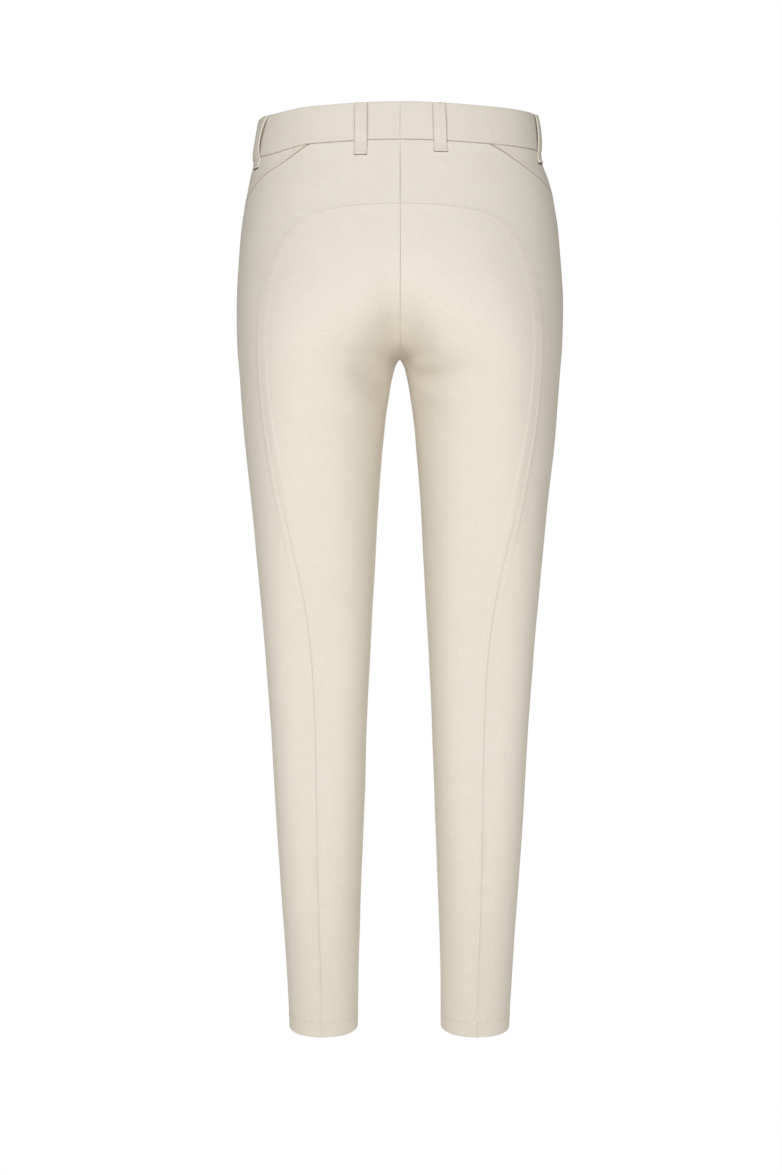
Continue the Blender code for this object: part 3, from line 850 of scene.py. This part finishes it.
# Polyester core-spun thread, dyed a shade lighter than the cloth, slightly glossy. The rest is
# the shade where the cloth's own shadow gathers, in needle holes, ditches and under loops.
thread = plainMaterial("core-spun polyester thread", "#E9E2D6", 0.5, {"Sheen Weight": 0.2})
needleHoleShade = plainMaterial("needle hole", "#B8A288")
deepShade = plainMaterial("painted shade in ditches and slits", "#B09680")
fineDitch = plainMaterial("shade in a pressed seam", "#B08E70")
footLine = plainMaterial("shade along a loop's foot", "#80604E")
underFoot = plainMaterial("shade under a loop's folded foot", "#3A2A20")

# each grid with what it carries: spots, and in the legs the hem's lifts and folds
seatGrid = withHem(seatRows())
legSpots = legRowsOf()
hipGrid = [hipRowsOf(legSpots[0])]
legGrid = withHem(legSpots)
yokeGrid = [yokeRowsOf()]
sides = ((1, "right"), (-1, "left"))
for side, label in sides:
    makePanel("outer", [hipGrid, legGrid], side, "outer_leg_" + label, stretchTwill)
    makePanel("seat", [seatGrid], side, "full_seat_" + label, seatCloth)
    makePanel("yoke", [yokeGrid], side, "hip_yoke_" + label, stretchTwill)
print("panels sewn")

# The waistband: a folded strip, seamed at the centre back and lapped at the front.
band = {
    "thick": 2.5 * mm,
    "height": 37.5 * mm,
    "topRound": 1.15 * mm,
    "bottomRound": 1.0 * mm,
    "lapPastCentre": 5.0 * mm,
    "underlap": 34.0 * mm,
    "stepIn": 2.8 * mm,
    "rampStart": 12.0 * mm,
    "rampEnd": 6.0 * mm,
    "puff": 0.25 * mm,
    "backEnd": 0.45 * mm,
    "frontEnd": 1.25 * mm,
    "frontCorner": 2.5 * mm,
    "foldShade": 0.5,
}


# How far the band's face puffs out between its folds, by the share of the way down.
def puffed(share):
    return band["thick"] / 2 + band["puff"] * np.sin(math.pi * share) ** 0.7


# The band's cross-section, a folded strip: distance down and out, once round.
def bandProfile():
    half, top, low = band["thick"] / 2, band["topRound"], band["bottomRound"]
    over, under = np.arange(0, 181, 15), np.arange(0, 181, 18)
    share = np.linspace(0, 1, 14)[1:-1]
    flat = mix(top, band["height"] - low, share)
    down = (
        top - top * np.sin(np.radians(over)),
        flat,
        band["height"] - low + low * np.sin(np.radians(under)),
        flat[::-1],
    )
    out = (
        np.where(over > 90, 1, -1) * (half - top) - top * np.cos(np.radians(over)),
        puffed(share),
        np.where(under > 90, -1, 1) * (half - low) + low * np.cos(np.radians(under)),
        0 * flat - half,
    )
    down, out = np.concatenate(down), np.concatenate(out)
    return np.append(down, down[0]), np.append(out, out[0])


def frontAngle(across):
    angle = angleAcross(abs(across), 0.0, 1)
    return float(angle if across >= 0 else 180.0 - angle)


# Angles of the band's columns, close together where it ends, laps or steps in.
def bandAngles(side):
    end = frontAngle(-band["lapPastCentre"] if side > 0 else -band["underlap"])
    close = np.array([0.0, 0.1, 0.25, 0.45, 0.8, 1.5, 2.5, 4.0]) * mm

    def level(t):
        angle = mix(-90.0, end, t)
        return angle, 0.0 * angle

    def columns(length):
        middle = np.linspace(6 * mm, length - 6 * mm, 130)
        return np.concatenate((close, middle, length - close[::-1]))

    return spread(level, columns)[:, 0]


# The height of the band's top edge, past the centre front too.
def bandTop(angle):
    return -waistDip(np.minimum(angle, 180.0 - angle))


# How far the left half steps in under the right one at the centre front.
def stepUnder(across, angle, side):
    step = ease((band["rampStart"] - across) / (band["rampStart"] - band["rampEnd"]))
    return band["stepIn"] * step * (angle > 0) * (side < 0)


# From 0 at an end to 1 past its rounding.
def roundOff(along, radius):
    return np.sqrt(1 - np.clip(1 - along / radius, 0, 1) ** 2)


def makeBand(side, label):
    down, out = bandProfile()
    angles = bandAngles(side)
    fromBack = runOf(surface(angles, 0.0 * angles))
    fromFront = fromBack[-1] - fromBack
    rounded = roundOff(fromBack, band["backEnd"])
    rounded = np.minimum(rounded, roundOff(fromFront, band["frontEnd"]))[:, None]
    corner = band["frontCorner"] * (1 - roundOff(fromFront, band["frontCorner"]))[:, None]
    bm = newGridMesh()
    angle, fall = np.meshgrid(angles, down, indexing="ij")
    height = bandTop(angle) - np.clip(fall, corner, band["height"] - corner)
    points = surface(angle, height)
    lift = out[None, :] * rounded - stepUnder(points[..., 0], angle, side)
    lift = lift + 0.5 * softWaves(points.reshape(-1, 3), side).reshape(lift.shape)
    addGrid(bm, np.stack((angle, height), -1), lift)
    for vert in bm.verts:
        if vert.co.y < 0:
            vert.co.x = max(vert.co.x, cut["clearance"])
    moveTo(bm.verts, toSide([vert.co for vert in bm.verts], side))
    bmesh.ops.remove_doubles(bm, verts=bm.verts, dist=0.004 * mm)
    bmesh.ops.recalc_face_normals(bm, faces=bm.faces)
    addClothMap(bm)
    # painted shade along the band's lower fold
    low = readLayer(bm, "height") + band["height"] - bandTop(readLayer(bm, "angle"))
    addShade(bm, band["foldShade"] * bell(np.maximum(low, 0), 0.5 * mm))
    node = "waistband_" + label
    finishPiece(bm, node + "_cloth", [bandCloth], node=node)


for side, label in sides:
    makeBand(side, label)
print("waistband sewn")

# A lockstitch lies 2.7 mm from hole to hole and sinks at both ends.
stitch = {
    "pitch": 2.7 * mm,
    "long": 2.3 * mm,
    "wide": 0.48 * mm,
    "high": 0.36 * mm,
    "hole": 0.40 * mm,
    "above": 0.09 * mm,
}
sunkStitch = {**stitch, "wide": 0.40 * mm, "high": 0.24 * mm, "hole": 0.16 * mm}
# in the ditch under the band only the sunken ends show, with wide holes of painted shade
ditch = {**stitch, "long": 1.7 * mm, "wide": 0.35 * mm, "high": 0.2 * mm, "hole": 0.42 * mm}
# the yoke's seam is pressed open, so the shade in its ditch is painted as one fine unbroken line
pressedShadeLine = {**ditch, "pitch": 1.1 * mm, "long": 1.5 * mm, "wide": 0.36 * mm, "hole": 0.1 * mm}


# The angle of a point near the surface, close to a known one.
def angleOf(points, near):
    middle, _, _, _, bridge = loopAt(points[:, 2])
    across = np.copysign(np.hypot(points[:, 0], bridge), points[:, 0]) - middle[0]
    angle = np.degrees(np.arctan2(points[:, 1] - middle[1], across))
    return angle + 360 * np.round((near - angle) / 360)


# Points and normals on the face of the cloth for spots given by angle and height.
def onCloth(panel, angle, height, side, above=0.0):
    normals = outward(angle, height)
    out = clothOut(panel, angle, height, side) + above
    return bothToSide(surface(angle, height) + normals * out[:, None], normals, side)


# A line that runs beside a seam: above it, or on the hip's side of it, where offset is positive.
def besideLine(path, offset, start=0.0, end=1.0, count=700):
    angle, height = path(np.linspace(start, end, count))
    points, normals = surface(angle, height), outward(angle, height)
    along = np.gradient(points, axis=0)
    along /= np.linalg.norm(along, axis=1, keepdims=True)
    points = points + np.cross(normals, along) * offset
    return angleOf(points, angle), points[:, 2]


# Copies what a mesh holds until it has this many, by doubling.
def manyOf(bm, count):
    size = len(bm.verts)
    copy = bpy.data.meshes.new("copy")
    while len(bm.verts) < size * count:
        bm.to_mesh(copy)
        bm.from_mesh(copy)
    bpy.data.meshes.remove(copy)
    bm.verts.ensure_lookup_table()
    bmesh.ops.delete(bm, geom=bm.verts[size * count :], context="VERTS")


# One stitch along X on a surface facing Z, with a disc of painted shade for the hole that it sinks
# into.
def oneStitch(size):
    bm = bmesh.new()
    thick = bmesh.ops.create_uvsphere(bm, u_segments=6, v_segments=5, radius=0.5)["verts"]
    turn = Matrix.Rotation(math.radians(90), 3, "Y")
    bmesh.ops.rotate(bm, verts=thick, cent=(0, 0, 0), matrix=turn)
    bmesh.ops.scale(bm, verts=thick, vec=(size["long"], size["wide"], size["high"]))
    bmesh.ops.translate(bm, verts=thick, vec=(0, 0, 0.1 * size["high"]))
    hole = bmesh.ops.create_circle(bm, cap_ends=True, segments=6, radius=size["hole"])["verts"]
    bmesh.ops.translate(bm, verts=hole, vec=(size["pitch"] / 2, 0, size["above"]))
    for face in {face for vert in hole for face in vert.link_faces}:
        face.material_index = 1
    # by way of a mesh, so that its points keep one order when it's doubled
    settled = bpy.data.meshes.new("stitch")
    bm.to_mesh(settled)
    bm.free()
    bm = bmesh.new()
    bm.from_mesh(settled)
    bpy.data.meshes.remove(settled)
    bm.verts.ensure_lookup_table()
    return bm


# Sews rows of stitches, each a dense line of points with the cloth's normals.
def sewRows(name, rows, size=stitch, materials=None):
    places, ways, normals = [], [], []
    for points, facing in rows:
        run = runOf(points)

        def along(values, where):
            return np.stack([np.interp(where, run, value) for value in values.T], -1)

        count = max(int(round(run[-1] / size["pitch"])), 1)
        at = (np.arange(count) + 0.5) * run[-1] / count
        half = 0.45 * size["long"]
        way = along(points, at + half) - along(points, at - half)
        places.append(along(points, at))
        ways.append(way / np.maximum(np.linalg.norm(way, axis=1, keepdims=True), 1e-9))
        normals.append(along(facing, at))
    place, way, normal = (np.concatenate(part)[:, None] for part in (places, ways, normals))
    normal /= np.linalg.norm(normal, axis=2, keepdims=True)
    bm = oneStitch(size)
    long, wide, high = np.array([vert.co for vert in bm.verts]).T[:, None, :, None]
    manyOf(bm, len(place))
    at = place + long * way + wide * np.cross(normal, way) + high * normal
    moveTo(bm.verts, at.reshape(-1, 3))
    finishPiece(bm, name, materials or [thread, needleHoleShade])


def seatRow(offset, panel, side, start, end):
    angle, height = besideLine(seamPaths["seat"], offset, start, end, 900)
    keep = height > cut["hem"] + 0.6 * mm
    return onCloth(panel, angle[keep], height[keep], side)


def hemRow(side):
    height = np.full(500, cut["hem"] + hem["stitchUp"])
    angle = np.linspace(cut["inseamAngle"] - 360.0 + 0.6, cut["inseamAngle"] - 0.6, 500)
    turn = seamSpot(seamLengthAt(height[0]))[0]
    inner = angle < turn
    return [
        onCloth("seat", angle[inner], height[inner], side),
        onCloth("outer", angle[~inner], height[~inner], side),
    ]


# The fly's curved stitching on the right front, across and height.
flyLine = [
    (0.0370, -0.0490),
    (0.0372, -0.0900),
    (0.0365, -0.1300),
    (0.0335, -0.1600),
    (0.0270, -0.1830),
    (0.0170, -0.2010),
    (0.0040, -0.2110),
]


def flyRow(inwards):
    lengths = runOf(flyLine)
    t = np.linspace(0, lengths[-1], 260)
    line = [smoothCurve(lengths, values)(t) for values in zip(*flyLine)]
    way = np.gradient(np.array(line), axis=1)
    way /= np.linalg.norm(way, axis=0)
    across, height = line[0] + way[1] * inwards, line[1] - way[0] * inwards
    keep = across > 1.5 * mm
    angle = angleAcross(across[keep], height[keep], 1)
    return onCloth("outer", angle, height[keep], 1)


# the holes show down the side of the seat, and close up round its top and down the leg
corner, turn = (times * cornerLength / seamLengths[-1] for times in (0.9, 1.9))
seatRuns = (
    ("seat_top", 0.0, corner, sunkStitch),
    ("seat", corner, turn, stitch),
    ("leg", turn, 1.0, sunkStitch),
)
offSeam = relief["seat"]["row"] * mm
for side, label in sides:
    for part, start, end, size in seatRuns:
        rows = [
            seatRow(offSeam, "outer", side, start, end),
            seatRow(-offSeam, "seat", side, start, end),
        ]
        sewRows("%s_seam_stitches_%s" % (part, label), rows, size)
    sewRows("hem_stitches_" + label, hemRow(side))
    angle, height = besideLine(seamPaths["yoke"], relief["yoke"]["row"] * mm, 0.02, 0.98, 400)
    keep = height < bandSeam(angle) - 1.2 * mm
    sewRows("yoke_stitches_" + label, [onCloth("yoke", angle[keep], height[keep], side)])
for side, label in sides:
    # stitches in the ditch under the band, their holes painted shade
    line = besideLine(seamPaths["band"], -0.55 * mm, 0.002, 0.998, 1200)
    row = onCloth("outer", *line, side, 0.25 * mm)
    sewRows("band_seam_stitches_" + label, [row], ditch, materials=[thread, deepShade])
    # painted shade: a fine dark line along the yoke's seam
    line = besideLine(seamPaths["yoke"], -0.15 * mm, 0.004, 0.996, 700)
    row = onCloth("outer", *line, side, 0.42 * mm)
    sewRows("yoke_seam_shade_line_" + label, [row], pressedShadeLine, materials=[fineDitch] * 2)
sewRows("fly_stitches", [flyRow(0.0), flyRow(5.0 * mm)])
print("seams stitched")

# Folded strips, sewn in at the band's top edge and turned under at a barred foot. Each one
# has its bow away from the band, its middle at the top and at the foot, and its foot's height.
beltLoops = {
    "width": 12.3 * mm,
    "thick": 1.5 * mm,
    "top": -0.6 * mm,
    "onBand": 2.25 * mm,
    "onPanel": 1.75 * mm,
    "fullness": 0.7,
    "rowsApart": 6.4 * mm,
    "barTall": 2.4 * mm,
    "barProud": 0.8 * mm,
    "drawnIn": 0.62 * mm,
    "backEdgeOff": {"side_left": 1.3 * mm},  # this one stands askew, its back edge off the band
    "edgeShade": 0.42,
    "places": {
        "back_right": (1.7, 0.0374, 0.0394, -48.9, 1.08),
        "back_left": (1.9, 0.0378, 0.0384, -52.0, 1.01),
        "side_right": (1.9, -13.5, -16.0, -50.2, 1.0),
        "side_left": (2.0, -19.4, -16.4, -49.6, 1.0),
        "front_right": (1.8, 0.0850, 0.0853, -52.2, 1.02),
        "front_left": (1.9, 0.0846, 0.0852, -52.8, 1.0),
    },
}
loopStitch = {
    **stitch,
    "pitch": 2.2 * mm,
    "long": 2.0 * mm,
    "wide": 0.36 * mm,
    "high": 0.26 * mm,
    "hole": 0.24 * mm,
}


# Angle of the middle, height and distance out of a loop's middle layer, from top to foot, then
# its width and how much further out its back edge stands.
def loopSpine(name, t):
    bowed, atTop, atFoot, foot, flare = beltLoops["places"][name]
    foot = foot * mm
    height = mix(beltLoops["top"], foot, t)
    free = (beltLoops["top"] - cut["bandBottom"]) / (beltLoops["top"] - foot)
    arch = np.sin(np.pi * np.clip(t / free, 0, 1)) ** beltLoops["fullness"]
    out = mix(beltLoops["onBand"], beltLoops["onPanel"], ease((t - free) / (1 - free) * 2))
    out = out + bowed * mm * arch
    angle = mix(atTop, atFoot, t)
    if not name.startswith("side"):
        angle = angleAcross(angle, height, -1 if name.startswith("back") else 1)
    # drawn in where the bar tack holds it, just under the band
    out = out - beltLoops["drawnIn"] * bell(height - cut["bandBottom"] + 2.4 * mm, 1.3 * mm)
    wide = beltLoops["width"] * mix(1.0, flare, t)
    askew = beltLoops["backEdgeOff"].get(name, 0.0) * arch
    return angle, height - waistDip(angle), out, wide, askew


# A point on the loop: t down its length, across it in metres, and out from its middle layer.
def onLoop(name, t, across, out):
    angle, height, lift, wide, askew = loopSpine(name, t)
    out = out + askew * np.clip(0.5 - across / wide, 0, 1)
    degree = np.linalg.norm(surface(angle + 0.5, height) - surface(angle - 0.5, height), axis=-1)
    turned = angle + across / degree
    normal = outward(turned, height)
    return surface(turned, height) + normal * (lift + out)[..., None], normal


# The loop's cross-section: across and out, once round.
def loopProfile():
    thin = beltLoops["thick"] / 2
    share, edge = np.linspace(-1, 1, 17), np.radians(np.arange(60, -61, -30))
    flat = beltLoops["width"] / 2 - thin
    ridge = bell(abs(share * beltLoops["width"] / 2) - beltLoops["rowsApart"] / 2, 0.7 * mm)
    face = thin - 0.22 * mm * ridge + 0.05 * mm * (1 - share**2)
    fold, rise = flat + thin * np.cos(edge), thin * np.sin(edge)
    across = np.concatenate((share * flat, fold, -share * flat, -fold, -share[-1:] * flat))
    out = np.concatenate((face, rise, 0 * share - thin, -rise, face[:1]))
    return across, out


def makeLoop(name, side):
    atSide = name.startswith("side")
    thick, width = beltLoops["thick"], beltLoops["width"]
    length = beltLoops["top"] - beltLoops["places"][name][3] * mm
    tall = beltLoops["barTall"] / length
    inBar = np.array([-0.12, 0.0, 0.10, 0.25, 0.5, 0.75, 0.92, 1.0, 1.0])
    top, free = [0.0, 0.0, 0.004, 0.012, 0.025], np.linspace(0.045, 1 - tall - 0.012, 44)
    t = np.concatenate((top, free, 1 - tall + tall * inBar))
    close = np.ones_like(t)  # how thick the strip is here, thinning to close its two ends
    close[:4] = (0.0, 0.55, 0.85, 1.0)
    close[-4:] = (1.0, 0.8, 0.5, 0.0)
    proud = np.zeros_like(t)  # how far the bar tack stands out here
    proud[-8:] = (0.3, 0.85, 1.0, 1.0, 0.9, 0.6, 0.3, 0.0)
    close, proud = close[:, None], proud[:, None]
    across, out = loopProfile()
    bm = bmesh.new()
    made = bmesh.ops.create_grid(bm, x_segments=len(across) - 1, y_segments=len(t) - 1, size=1.0)
    down = np.repeat(t[:, None], len(across), 1)
    wide = across * (1 + 0.045 * proud) * (0.96 + 0.04 * close)
    flare = loopSpine(name, down)[3] / width
    pucker = 0.07 * mm * close * np.sin(1400 * down * length + 2.0) * np.sin(900 * wide + 1.0)
    lift = out * close + (beltLoops["barProud"] * proud + pucker) * (out > 0)
    points, _ = onLoop(name, down, wide * flare, lift)
    moveTo(made["verts"], toSide(points.reshape(-1, 3), side))
    # painted shade on the side edges of the back and front loops
    edge = ease((np.abs(across) - 0.5 * width + 0.85 * mm) / (0.5 * mm))
    addShade(bm, np.tile(edge * (0.0 if atSide else beltLoops["edgeShade"]), len(t)))
    bmesh.ops.remove_doubles(bm, verts=bm.verts, dist=0.003 * mm)
    bmesh.ops.recalc_face_normals(bm, faces=bm.faces)
    uv = bm.loops.layers.uv.new("cloth")
    for face in bm.faces:
        for loop in face.loops:
            loop[uv].uv = (loop.vert.co.x + loop.vert.co.y, loop.vert.co.z)
    piece = "belt_loop_" + name
    finishPiece(bm, piece + "_cloth", [bandCloth], node=piece)

    def row(t, across, out):
        return bothToSide(*onLoop(name, t, across, out + 0 * t), side)

    def rowAcross(t, reach, out):
        return row(np.full(30, t), np.linspace(-reach, reach, 30) * width, out)

    # painted shade under the foot: a row of dark stitches along its lower edge
    footShadeSize = {**ditch, "pitch": 1.0 * mm, "long": 1.2 * mm, "wide": 0.55 * mm, "hole": 0.3 * mm}
    if atSide:
        footShadeSize = {**footShadeSize, "wide": 1.5 * mm, "high": 1.2 * mm}
    underside = [underFoot if atSide else footLine] * 2
    sewRows(piece + "_foot_shade", [rowAcross(1.004, 0.5, -0.55 * mm)], footShadeSize, materials=underside)
    down = np.linspace(0.02, 1 - tall * 1.6, 160)
    off = 0.5 * beltLoops["rowsApart"] * loopSpine(name, down)[3] / width
    rows = [row(down, way * off, 0.5 * thick - 0.19 * mm) for way in (-1, 1)]
    rows += [rowAcross(where, 0.36, 0.5 * thick) for where in (0.03, 1 - tall * 1.9)]
    sewRows(piece + "_stitches", rows, loopStitch)


for name in beltLoops["places"]:
    makeLoop(name, 1 if name.endswith("right") else -1)
print("belt loops sewn")

# A cast resin button with a raised rim and four holes, done up through the right front.
button = {
    "across": 10.0 * mm,
    "height": -18.5 * mm,
    "gap": 0.6 * mm,
    "half": 1.5 * mm,
    "holesApart": 2.7 * mm,
    "holeRadius": 0.8 * mm,
    # distance from the middle and height of the turned outline, in millimetres
    "outline": [
        (0.0, -1.40), (5.6, -1.50), (7.5, -1.42), (8.2, -1.05), (8.5, -0.40), (8.5, 0.45),
        (8.32, 1.02), (7.88, 1.38), (7.25, 1.50), (6.65, 1.40), (6.2, 1.10), (5.8, 0.84),
        (5.1, 0.72), (2.6, 0.66), (0.0, 0.64),
    ],
}  # fmt: skip
buttonhole = {"start": 12.0 * mm, "end": 28.5 * mm, "beadNear": 0.28 * mm, "beadFar": 1.35 * mm}

# Cast polyester resin, tumbled to a soft gloss: faint pearly clouds 3 mm across.
resin, tree, shader = newMaterial("cast polyester resin, tumbled")
place = addNode(tree, "TexCoord", "Object")
cloud = {"Vector": place, "Scale": 1 / (3 * mm), "Detail": 3.0, "Distortion": 0.8}
clouds = addNode(tree, "TexNoise", "Fac", cloud)
pair = {"Factor": clouds, "A": linear("#CFC4B0"), "B": linear("#E8E0D1")}
grain = {"Strength": 0.2, "Distance": 0.03 * mm, "Height": clouds}
gloss = {
    "Base Color": addNode(tree, "Mix", 2, pair, data_type="RGBA"),
    "Roughness": 0.32,
    "Coat Weight": 0.25,
    "Coat Roughness": 0.2,
    "Normal": addNode(tree, "Bump", "Normal", grain),
}
setSockets(tree, shader, gloss)

buttonAngle = angleAcross(button["across"], button["height"], 1)
buttonSpot = buttonAngle, button["height"] - waistDip(buttonAngle)
buttonUp = Vector(outward(*buttonSpot))
buttonOut = band["thick"] / 2 + button["gap"] + button["half"]
buttonPlace = Matrix.Translation(Vector(surface(*buttonSpot)) + buttonUp * buttonOut)
buttonPlace = buttonPlace @ buttonUp.to_track_quat("Z", "Y").to_matrix().to_4x4()

# turned from its outline, then drilled
bm = bmesh.new()
outline = [bm.verts.new((r * mm, 0, z * mm)) for r, z in button["outline"]]
turned = outline + [bm.edges.new(pair) for pair in zip(outline, outline[1:])]
full = {"cent": (0, 0, 0), "axis": (0, 0, 1), "angle": 2 * math.pi, "steps": 40}
bmesh.ops.spin(bm, geom=turned, use_merge=True, **full)
bmesh.ops.remove_doubles(bm, verts=bm.verts, dist=0.001 * mm)
bmesh.ops.recalc_face_normals(bm, faces=bm.faces)
blank = objectOf(bm, "button blank")
bm = bmesh.new()
bore, apart = button["holeRadius"], button["holesApart"] / 2
bit = {"cap_ends": True, "segments": 14, "radius1": bore, "radius2": bore, "depth": 8 * mm}
for x, y in ((-1, -1), (-1, 1), (1, -1), (1, 1)):
    drill = bmesh.ops.create_cone(bm, **bit)["verts"]
    bmesh.ops.translate(bm, verts=drill, vec=(x * apart, y * apart, 0))
drills = objectOf(bm, "drills")
drilled = blank.modifiers.new("holes", "BOOLEAN")
drilled.operation = "DIFFERENCE"
drilled.object = drills
drilled.solver = "EXACT"
done = blank.evaluated_get(bpy.context.evaluated_depsgraph_get())
bm = bmesh.new()
bm.from_mesh(done.to_mesh())
for spent in (blank, drills):
    bpy.data.objects.remove(spent, do_unlink=True)
bmesh.ops.transform(bm, matrix=buttonPlace, verts=bm.verts)
buttonPiece = finishPiece(bm, "waist_button_resin", [resin], "waist_button")
buttonPiece.data.set_sharp_from_angle(angle=math.radians(40))

# two bars of thread, three strands each, from hole to hole
t = np.linspace(-0.5, 0.5, 12)
strands = []
for y in (-1, 1):
    for strand in (-0.34, 0.0, 0.34):
        x = t * (2 * apart + 0.5 * mm)
        z = 0.86 * mm - 0.9 * mm * (2 * t) ** 6 + 0.08 * mm * (strand == 0)
        line = np.stack((x, 0 * t + y * apart + strand * mm, z), -1)
        line = np.array([buttonPlace @ Vector(point) for point in line])
        strands.append((line, np.repeat([buttonUp], 12, 0)))
# thread wound tight shows no holes
wound = {"hole": 0.02 * mm, "above": 0}
barThread = {"pitch": 3.2 * mm, "long": 3.1 * mm, "wide": 0.42 * mm, "high": 0.45 * mm, **wound}
sewRows("waist_button_thread", strands, barThread)


# Points on the waistband's face, or on its inside, by angle and the distance down.
def onBand(angle, fall, side, inside=False):
    points = surface(angle, bandTop(angle) - fall)
    normals = outward(angle, bandTop(angle) - fall)
    flat = band["height"] - band["topRound"] - band["bottomRound"]
    face = puffed(np.clip((fall - band["topRound"]) / flat, 0, 1))
    out = -band["thick"] / 2 if inside else face
    out = out + 0.5 * softWaves(points, side) - stepUnder(points[..., 0], angle, side)
    points = points + normals * out[:, None]
    return bothToSide(points, -normals if inside else normals, side)


# One short line of thread for each stitch of the buttonhole's beads and its bar.
def bandLine(across, fallFrom, fallTo):
    fall = np.linspace(fallFrom, fallTo, 4)
    angle = angleAcross(np.full(4, across), -fall, 1)
    return onBand(angle, fall, 1)


middle = -button["height"]
beads = []
for across in np.arange(buttonhole["start"], buttonhole["end"], 0.5 * mm):
    for way in (-1, 1):
        near, far = way * buttonhole["beadNear"], way * buttonhole["beadFar"]
        beads.append(bandLine(across, middle + near, middle + far))
for past in (0.1, 0.6, 1.1):
    beads.append(bandLine(buttonhole["end"] + past * mm, middle - 1.5 * mm, middle + 1.5 * mm))
beadThread = {"pitch": 1.1 * mm, "long": 1.25 * mm, "wide": 0.46 * mm, "high": 0.5 * mm, **wound}
sewRows("buttonhole_stitches", beads, beadThread)
# the slit is a fine line of painted shade
across, fall = np.linspace(buttonhole["start"], buttonhole["end"], 40), np.full(40, middle)
slit = onBand(angleAcross(across, -fall, 1), fall, 1)
slitLine = {**beadThread, "long": 1.5 * mm, "wide": 0.36 * mm, "high": 0.14 * mm}
sewRows("buttonhole_slit", [slit], slitLine, materials=[deepShade] * 2)

for side, label in sides:
    angles = bandAngles(side)
    line = np.linspace(angles[6], angles[-9], 900)
    fall = np.full(900, band["height"] - 2.2 * mm)
    sewRows("band_inner_stitches_" + label, [onBand(line, fall, side, inside=True)])
print("button and band finished")
# Camera, lights and floor, in metres and watts.
studio = {
    "cameraPlace": (-0.009, -1.90, -0.298),
    "tiltDown": 5.723,
    "lens": 55.18,
    "floor": -1.30,
    # where each softbox stands, what it faces, how wide and tall it is, its power and colour
    "softboxes": {
        "key": ((-0.16, -2.1, 0.38), (0, 0, -0.30), 2.4, 0.8, 39.0, (0.962, 0.963, 0.978)),
        "front wash": ((0.2, 2.3, -0.1), (0, 0, -0.45), 0.7, 1.7, 20.0, (1.0, 0.98, 0.95)),
        "leg strip, left": ((-0.5, -0.45, -0.68), (0, 0, -0.68), 0.2, 0.3, 0.4, (1.0, 0.96, 0.90)),
        "leg strip, right": ((0.5, -0.45, -0.68), (0, 0, -0.68), 0.2, 0.3, 0.4, (1.0, 0.96, 0.90)),
        "floor glow": ((0, -0.1, -2.0), (0, -0.1, 0), 3.6, 3.0, 24.5, (1.0, 0.93, 0.83)),
    },
}
cameraData = bpy.data.cameras.new("camera")
cameraData.lens = studio["lens"]
cameraData.sensor_width = 36.0
camera = bpy.data.objects.new("camera", cameraData)
scene.collection.objects.link(camera)
camera.location = studio["cameraPlace"]
camera.rotation_euler = (math.radians(90 - studio["tiltDown"]), 0, 0)
scene.camera = camera

world = bpy.data.worlds.new("white studio")
world.use_nodes = True
scene.world = world
sky = world.node_tree.nodes["Background"]
tree = world.node_tree
seen = addNode(tree, "LightPath", "Is Camera Ray")
up = addNode(tree, "TexCoord", "Generated")
level = addNode(tree, "SeparateXYZ", "Z", {"Vector": up})
share = addNode(tree, "MapRange", "Result", {"Value": level, "From Min": -1.0})
pair = {"Factor": share, "A": (0.285, 0.264, 0.232, 1), "B": (0.252, 0.249, 0.237, 1)}
tint = addNode(tree, "Mix", 2, pair, data_type="RGBA")
pair = {"Factor": seen, "A": tint, "B": (1.0, 1.0, 1.0, 1)}
setSockets(tree, sky, {"Color": addNode(tree, "Mix", 2, pair, data_type="RGBA")})

for name, (place, aim, wide, tall, power, colour) in studio["softboxes"].items():
    data = bpy.data.lights.new(name, "AREA")
    data.shape = "RECTANGLE"
    data.size, data.size_y = wide, tall
    data.energy = power
    data.color = colour
    light = bpy.data.objects.new(name, data)
    scene.collection.objects.link(light)
    light.visible_camera = False
    light.location = place
    light.rotation_euler = (Vector(aim) - Vector(place)).to_track_quat("-Z", "Y").to_euler()

floorMesh = bmesh.new()
bmesh.ops.create_grid(floorMesh, x_segments=1, y_segments=1, size=14.0)
bmesh.ops.translate(floorMesh, verts=floorMesh.verts, vec=(0, 0, studio["floor"]))
glow = {"Specular IOR Level": 0.0, "Emission Color": (1, 1, 1, 1), "Emission Strength": 1.0}
floor = objectOf(floorMesh, "floor", [plainMaterial("matt white paper", "#000000", 1.0, glow)])
floor.visible_diffuse = False  # a plain white sheet: the glow from below comes through it
floor.visible_shadow = False
scene.view_settings.view_transform = "Standard"
print("studio ready")
